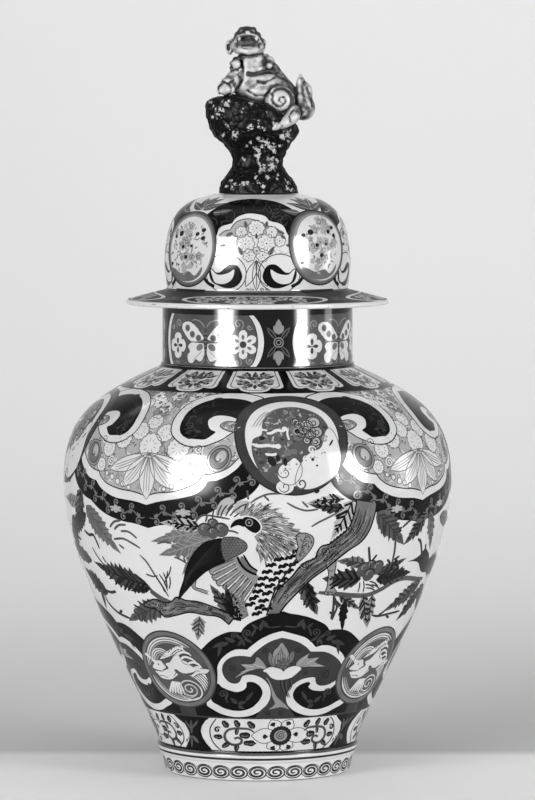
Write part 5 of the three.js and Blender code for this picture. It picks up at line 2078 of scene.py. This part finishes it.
def worn_and_shaded_coat(name, spread, grain, patches, stops, relief, roughness, **finish):
    """A coat whose grey follows each spot's recess value, times spread, and a patchy grain, through stops.
    On the rock that value is where the lacquer has worn off; on the lion it is painted shade.
    """
    mat = bpy.data.materials.new(name)
    made = Nodes(mat)
    hollow = made.add("Attribute")
    hollow.attribute_name = "recess"
    place = made.add("TexCoord")
    noise_scale, detail, harshness = grain
    grains = made.add("TexNoise", Scale=noise_scale, Detail=detail, Roughness=harshness)
    from_min, from_max, to_min, to_max = patches
    patchy = made.add("MapRange", From_Min=from_min, From_Max=from_max, To_Min=to_min, To_Max=to_max)
    mix = made.math("MULTIPLY_ADD")
    mix.inputs[1].default_value = spread
    ramp = made.ramp(*stops)
    bump = made.add("Bump", Strength=relief[0], Distance=relief[1])
    rough = made.add("MapRange", To_Min=roughness[0], To_Max=roughness[1])
    shader = made.shader(**finish)
    made.link(place, "Object", grains, "Vector")
    made.link(grains, "Fac", patchy, "Value")
    made.link(hollow, "Fac", mix, 0)
    made.link(patchy, "Result", mix, 2)
    made.link(mix, "Value", ramp, "Fac")
    made.link(ramp, "Color", shader, "Base Color")
    made.link(grains, "Fac", bump, "Height")
    made.link(bump, "Normal", shader, "Normal")
    made.link(grains, "Fac", rough, "Value")
    made.link(rough, "Result", shader, "Roughness")
    return mat


def shaded_gilding():
    """Gilding with painted shade: bright on the high places, dark in the hollows and along the dark strokes.
    """
    return worn_and_shaded_coat(
        "gilding", 1.1, grain=(210, 6, 0.65), patches=(0.36, 0.66, 0.25, 0.75),
        stops=((0.3, 0.5), (0.66, 0.17), (1.0, 0.012)), relief=(0.35, 0.0007), roughness=(0.4, 0.7),
        Metallic=0.1, Specular_IOR_Level=0.3,
    )


def worn_lacquer():
    """Black lacquer that has flaked off here and there down to the pale body."""
    return worn_and_shaded_coat("black_lacquer", 0.2, grain=(260, 5, 0.7), patches=(0, 1, 0, 1),
                     stops=((0.67, 0.004), (0.7, 0.55)), relief=(0.5, 0.001), roughness=(0.2, 0.45),
                     Specular_IOR_Level=0.06)


def build_lion():
    block, parts, whole = lion_fields()
    # hollow is the gilding's painted shade: dark in hollows and along the dark strokes
    hollow = recess(block, whole)
    gilding = shaded_gilding()
    for name, part in parts.items():
        others = np.minimum.reduce([other for key, other in parts.items() if key != name])
        own = np.maximum(whole, (part - others) / 2 - 0.4)
        spots, faces, depth = skin_of(block, own, hollow)
        spots = spots + (0, 0, LION_FOOT)
        piece = attributed(name.replace("lion_", "gilt_"), spots, faces, depth, gilding)
        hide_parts(name)


# The rock's two side lines, from its foot up, and its top line: x, height above the lion's feet
ROCK_LEFT = points(
    (-38.5, -85), (-38, -80), (-36.5, -73), (-30, -65.5), (-26, -58), (-25, -50), (-29, -42), (-36, -34),
    (-43, -29), (-48, -20), (-51, -10), (-52.5, 0), (-52.5, 8), (-52.5, 14),
)
ROCK_RIGHT = points(
    (41, -85), (40, -80), (37, -73), (30, -64.5), (25.5, -57), (25.5, -51), (30, -42), (34, -35), (40, -28),
    (42, -22), (42.5, -12), (42.5, 0), (42.5, 14),
)
ROCK_TOP = points(
    (-56, 2), (-52, 6), (-48, 9), (-40, 11), (-24, 14), (-12, 12), (0, 7.5), (10, 6), (18, 0), (26, -7),
    (34, -12), (40, -17), (46, -27),
)
ROCK_DEPTH = 0.82  # front to back, for its width
ROCK_ROUNDING = 5  # how softly its sides run into its top
FLAKES = (  # worn places on the front: x, height, radius
    (4, -32, 4), (8, -36, 5), (14, -39, 4), (-1, -42, 3.4), (1, -48, 3.4), (17, -43, 3), (14, -52, 4),
    (3, -56, 3), (8, -60, 4), (4, -63, 3), (16, -58, 3), (30, -27, 4), (25, -29, 3), (-37, -4, 4),
    (-42, 1, 2.6), (-22, -27, 3.4), (-24, -24, 3), (-35, -27, 2), (-25, -74, 3), (-14, -76, 3),
    (-10, -74, 2.4), (30, -74, 3), (2, -74, 2.4), (-10, -38, 2), (-14, -50, 2), (5, -78, 2), (-30, -17, 2),
    (-6, -20, 2), (2, -13, 1.6), (-45, -8, 2), (-30, 3, 2), (20, -70, 2),
)


def rock_form(block):
    left = np.interp(block.z, ROCK_LEFT[:, 1], ROCK_LEFT[:, 0])
    right = np.interp(block.z, ROCK_RIGHT[:, 1], ROCK_RIGHT[:, 0])
    middle, half = (left + right) / 2, (right - left) / 2
    away = np.sqrt((block.x - middle) ** 2 + (block.y / ROCK_DEPTH) ** 2)
    waist = (away - half) * 0.8
    top = (block.z - np.interp(block.x, ROCK_TOP[:, 0], ROCK_TOP[:, 1])) * 0.88 + (block.y / 30) ** 2 * 2.4
    foot = ROCK_BASE - LION_FOOT - block.z
    h = np.maximum(ROCK_ROUNDING - np.abs(waist - top), 0) / ROCK_ROUNDING
    return np.maximum(np.maximum(waist, top) + h * h * ROCK_ROUNDING / 4, foot)


def craggy(spots):
    """Knobs, cracks and holes: how far each spot moves out."""
    out = np.empty(len(spots))
    for i, spot in enumerate(spots):
        place = Vector(spot)
        near, _ = noise.voronoi(place / 8, distance_metric="DISTANCE", exponent=2.5)
        fine = noise.fractal(place / 4, 0.8, 2.1, 3)
        crack = abs(noise.noise(place / 14 + Vector((7, 3, 1))))
        out[i] = 0.5 - 1.5 * near[0] + 0.5 * fine - 1.3 * max(0.0, 0.07 - crack) / 0.07
    return out


def flaking(spots):
    """How far the lacquer has come off at each spot, in the drawn places on the front and at random ones."""
    front, back = -1, 1
    rng = random.Random(9)
    flakes = [(x, front, z, radius * 1.6) for x, z, radius in FLAKES]
    flakes += [(rng.uniform(-45, 40), back, rng.uniform(-80, 4), rng.uniform(3, 8)) for _ in range(34)]
    flakes += [(rng.uniform(-48, 40), front, rng.uniform(-84, 10), rng.uniform(1.6, 3.4)) for _ in range(46)]
    worn = np.zeros(len(spots))
    for x, side, z, radius in flakes:
        away = np.hypot(spots[:, 0] - x, spots[:, 2] - z)
        worn = np.maximum(worn, np.where(spots[:, 1] * side > 0, np.clip(1.25 - away / radius, 0, 1), 0))
    return worn


def build_rock():
    block = Block((-58, -48, -88), (50, 48, 16))
    form = rock_form(block)
    spots, faces, _ = skin_of(block, form, np.zeros_like(form))
    a, b, c = (spots[faces[:, i]] for i in range(3))
    flat = np.cross(b - a, c - a)
    normals = np.zeros_like(spots)
    for i in range(4):
        np.add.at(normals, faces[:, i], flat)
    normals /= np.maximum(np.hypot(np.hypot(*normals.T[:2]), normals[:, 2]), 1e-9)[:, None]
    settle = np.clip((spots[:, 2] - (ROCK_BASE - LION_FOOT)) / 6, 0, 1)  # the foot stays flat
    out = normals * (np.minimum(craggy(spots), 0.9) * settle)[:, None]
    worn = flaking(spots)
    rock = attributed(
        "lacquered_rock", spots + out + (0, 0, LION_FOOT), faces, worn, worn_lacquer(),
    )
    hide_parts("finial_rock")


build_lion()
build_rock()


# The studio

SIGHT_DISTANCE = 4.555  # from the camera to the jar's axis
SIGHT_PITCH = math.radians(3.73)
PICTURE_HEIGHT = 0.8  # of the scene's slice at the axis that fills the picture
AIM = Vector((0.010, 0, 0.3715))
SENSOR = 36.0
WORLD_LIGHT = 0.06
WORLD_SEEN = 0.5
PAPER_REACH = 3.4  # of the backdrop, to either side and to the front
TABLE_BACK = 2.2
WALL_CURVE = 1.2
WALL_HEIGHT = 4.5
LAMP_TARGET = Vector((0, 0, 0.35))
SOFTBOXES = (  # name, azimuth, elevation, distance, width, height and power
    ("box_left", -38, 11, 3.4, 1.77, 1.98, 71), ("box_right", 55, 11, 3.4, 1.27, 1.98, 54),
    ("strip_right", 94, 4, 2.4, 0.5, 0.7, 6), ("top_fill", 0, 74, 3.2, 3.4, 2.6, 27),
)
SHINES = (("shine_left", -38, 10, 3.38, 1.7, 1.84, 261), ("shine_right", 55, 10, 3.38, 1.2, 1.84, 190))
BACKDROP_LIGHT = ("backdrop_light", 172, 48, 2.6, 4.0, 0.8, 50)
BACKDROP_AIM = (0, 3.2, 0.5)
PAPER_TONES_WITH_SHADE = ((0.09, 0.96), (0.13, 0.66))  # distance behind the jar's axis and grey, for table and wall; the wall's darker grey is painted shade


def build_camera():
    data = bpy.data.cameras.new("camera")
    data.sensor_width = SENSOR
    data.lens = SENSOR * SIGHT_DISTANCE / PICTURE_HEIGHT
    data.clip_end = 40
    camera = bpy.data.objects.new("camera", data)
    back = Vector((0, -math.cos(SIGHT_PITCH), math.sin(SIGHT_PITCH)))
    camera.location = AIM + back * SIGHT_DISTANCE
    camera.rotation_euler = (-back).to_track_quat("-Z", "Y").to_euler()
    bpy.context.scene.collection.objects.link(camera)
    bpy.context.scene.camera = camera


def backdrop_material():
    """Pale paper, a little lighter on the table than on the wall behind it; the darker grey, from just
    behind the jar's axis on, is painted shade. Its back lets the view through, so that the jar is seen from
    behind too."""
    mat = bpy.data.materials.new("backdrop")
    made = Nodes(mat)
    place = made.add("TexCoord")
    parts = made.add("SeparateXYZ")
    ramp = made.ramp(*PAPER_TONES_WITH_SHADE)
    paper = made.shader(Roughness=0.95, Specular_IOR_Level=0.1)
    side = made.add("NewGeometry")
    clear = made.add("BsdfTransparent")
    choice = made.add("MixShader")
    made.link(place, "Object", parts, "Vector")
    made.link(parts, "Y", ramp, "Fac")
    made.link(ramp, "Color", paper, "Base Color")
    made.link(side, "Backfacing", choice, 0)
    made.link(paper, "BSDF", choice, 1)
    made.link(clear, "BSDF", choice, 2)
    made.link(choice, "Shader", made.tree.nodes["Material Output"], "Surface")
    return mat


def pale_world():
    """Weak light all round. What looks straight at it, or sees it in the glaze, finds a pale ground."""
    world = bpy.data.worlds.new("world")
    made = Nodes(world)
    path = made.add("LightPath")
    reflected, seen = made.math("MAXIMUM"), made.math("MAXIMUM")
    strength = made.add("MapRange", To_Min=WORLD_LIGHT, To_Max=WORLD_SEEN)
    ground = made.set(made.tree.nodes["Background"], Color=(1, 1, 1, 1))
    made.link(path, "Is Glossy Ray", reflected, 0)
    made.link(path, "Is Transmission Ray", reflected, 1)
    made.link(path, "Is Camera Ray", seen, 0)
    made.link(reflected, "Value", seen, 1)
    made.link(seen, "Value", strength, "Value")
    made.link(strength, "Result", ground, "Strength")
    return world


def backdrop_sheet():
    """The paper: a table that curves up into a wall."""
    curve_run = [(TABLE_BACK + WALL_CURVE * math.sin(t), WALL_CURVE * (1 - math.cos(t)))
                 for t in np.linspace(0, math.pi / 2, 13)]
    run = [(-PAPER_REACH, 0.0), *curve_run, (TABLE_BACK + WALL_CURVE, WALL_HEIGHT)]
    mesh = bpy.data.meshes.new("backdrop")
    faces = [(2 * i, 2 * i + 1, 2 * i + 3, 2 * i + 2) for i in range(len(run) - 1)]
    mesh.from_pydata([(x, y, z) for y, z in run for x in (-PAPER_REACH, PAPER_REACH)], [], faces)
    mesh.polygons.foreach_set("use_smooth", [True] * len(faces))
    mesh.materials.append(backdrop_material())
    backdrop = bpy.data.objects.new("backdrop", mesh)
    bpy.context.scene.collection.objects.link(backdrop)
    return backdrop


def softbox(name, azimuth, elevation, distance, width, height, power, aim=None, shine=False):
    """A soft light, its azimuth in degrees from the front towards the right. It looks at the jar, or at aim.
    With shine it is oval and only shows as a reflection in the glaze."""
    data = bpy.data.lights.new(name, "AREA")
    data.shape = "ELLIPSE" if shine else "RECTANGLE"
    data.size, data.size_y = width, height
    data.energy = power
    light = bpy.data.objects.new(name, data)
    a, e = math.radians(azimuth), math.radians(elevation)
    away = Vector((math.sin(a) * math.cos(e), -math.cos(a) * math.cos(e), math.sin(e)))
    light.location = LAMP_TARGET + away * distance
    back = light.location - Vector(aim) if aim else away
    light.rotation_euler = back.to_track_quat("Z", "Y").to_euler()
    light.visible_diffuse = not shine
    bpy.context.scene.collection.objects.link(light)


def build_studio():
    backdrop_sheet()
    scene = bpy.context.scene
    scene.world = pale_world()
    scene.view_settings.view_transform = "Standard"
    for lamp in SOFTBOXES:
        softbox(*lamp)
    for lamp in SHINES:
        softbox(*lamp, shine=True)
    softbox(*BACKDROP_LIGHT, aim=BACKDROP_AIM)


build_camera()
build_studio()
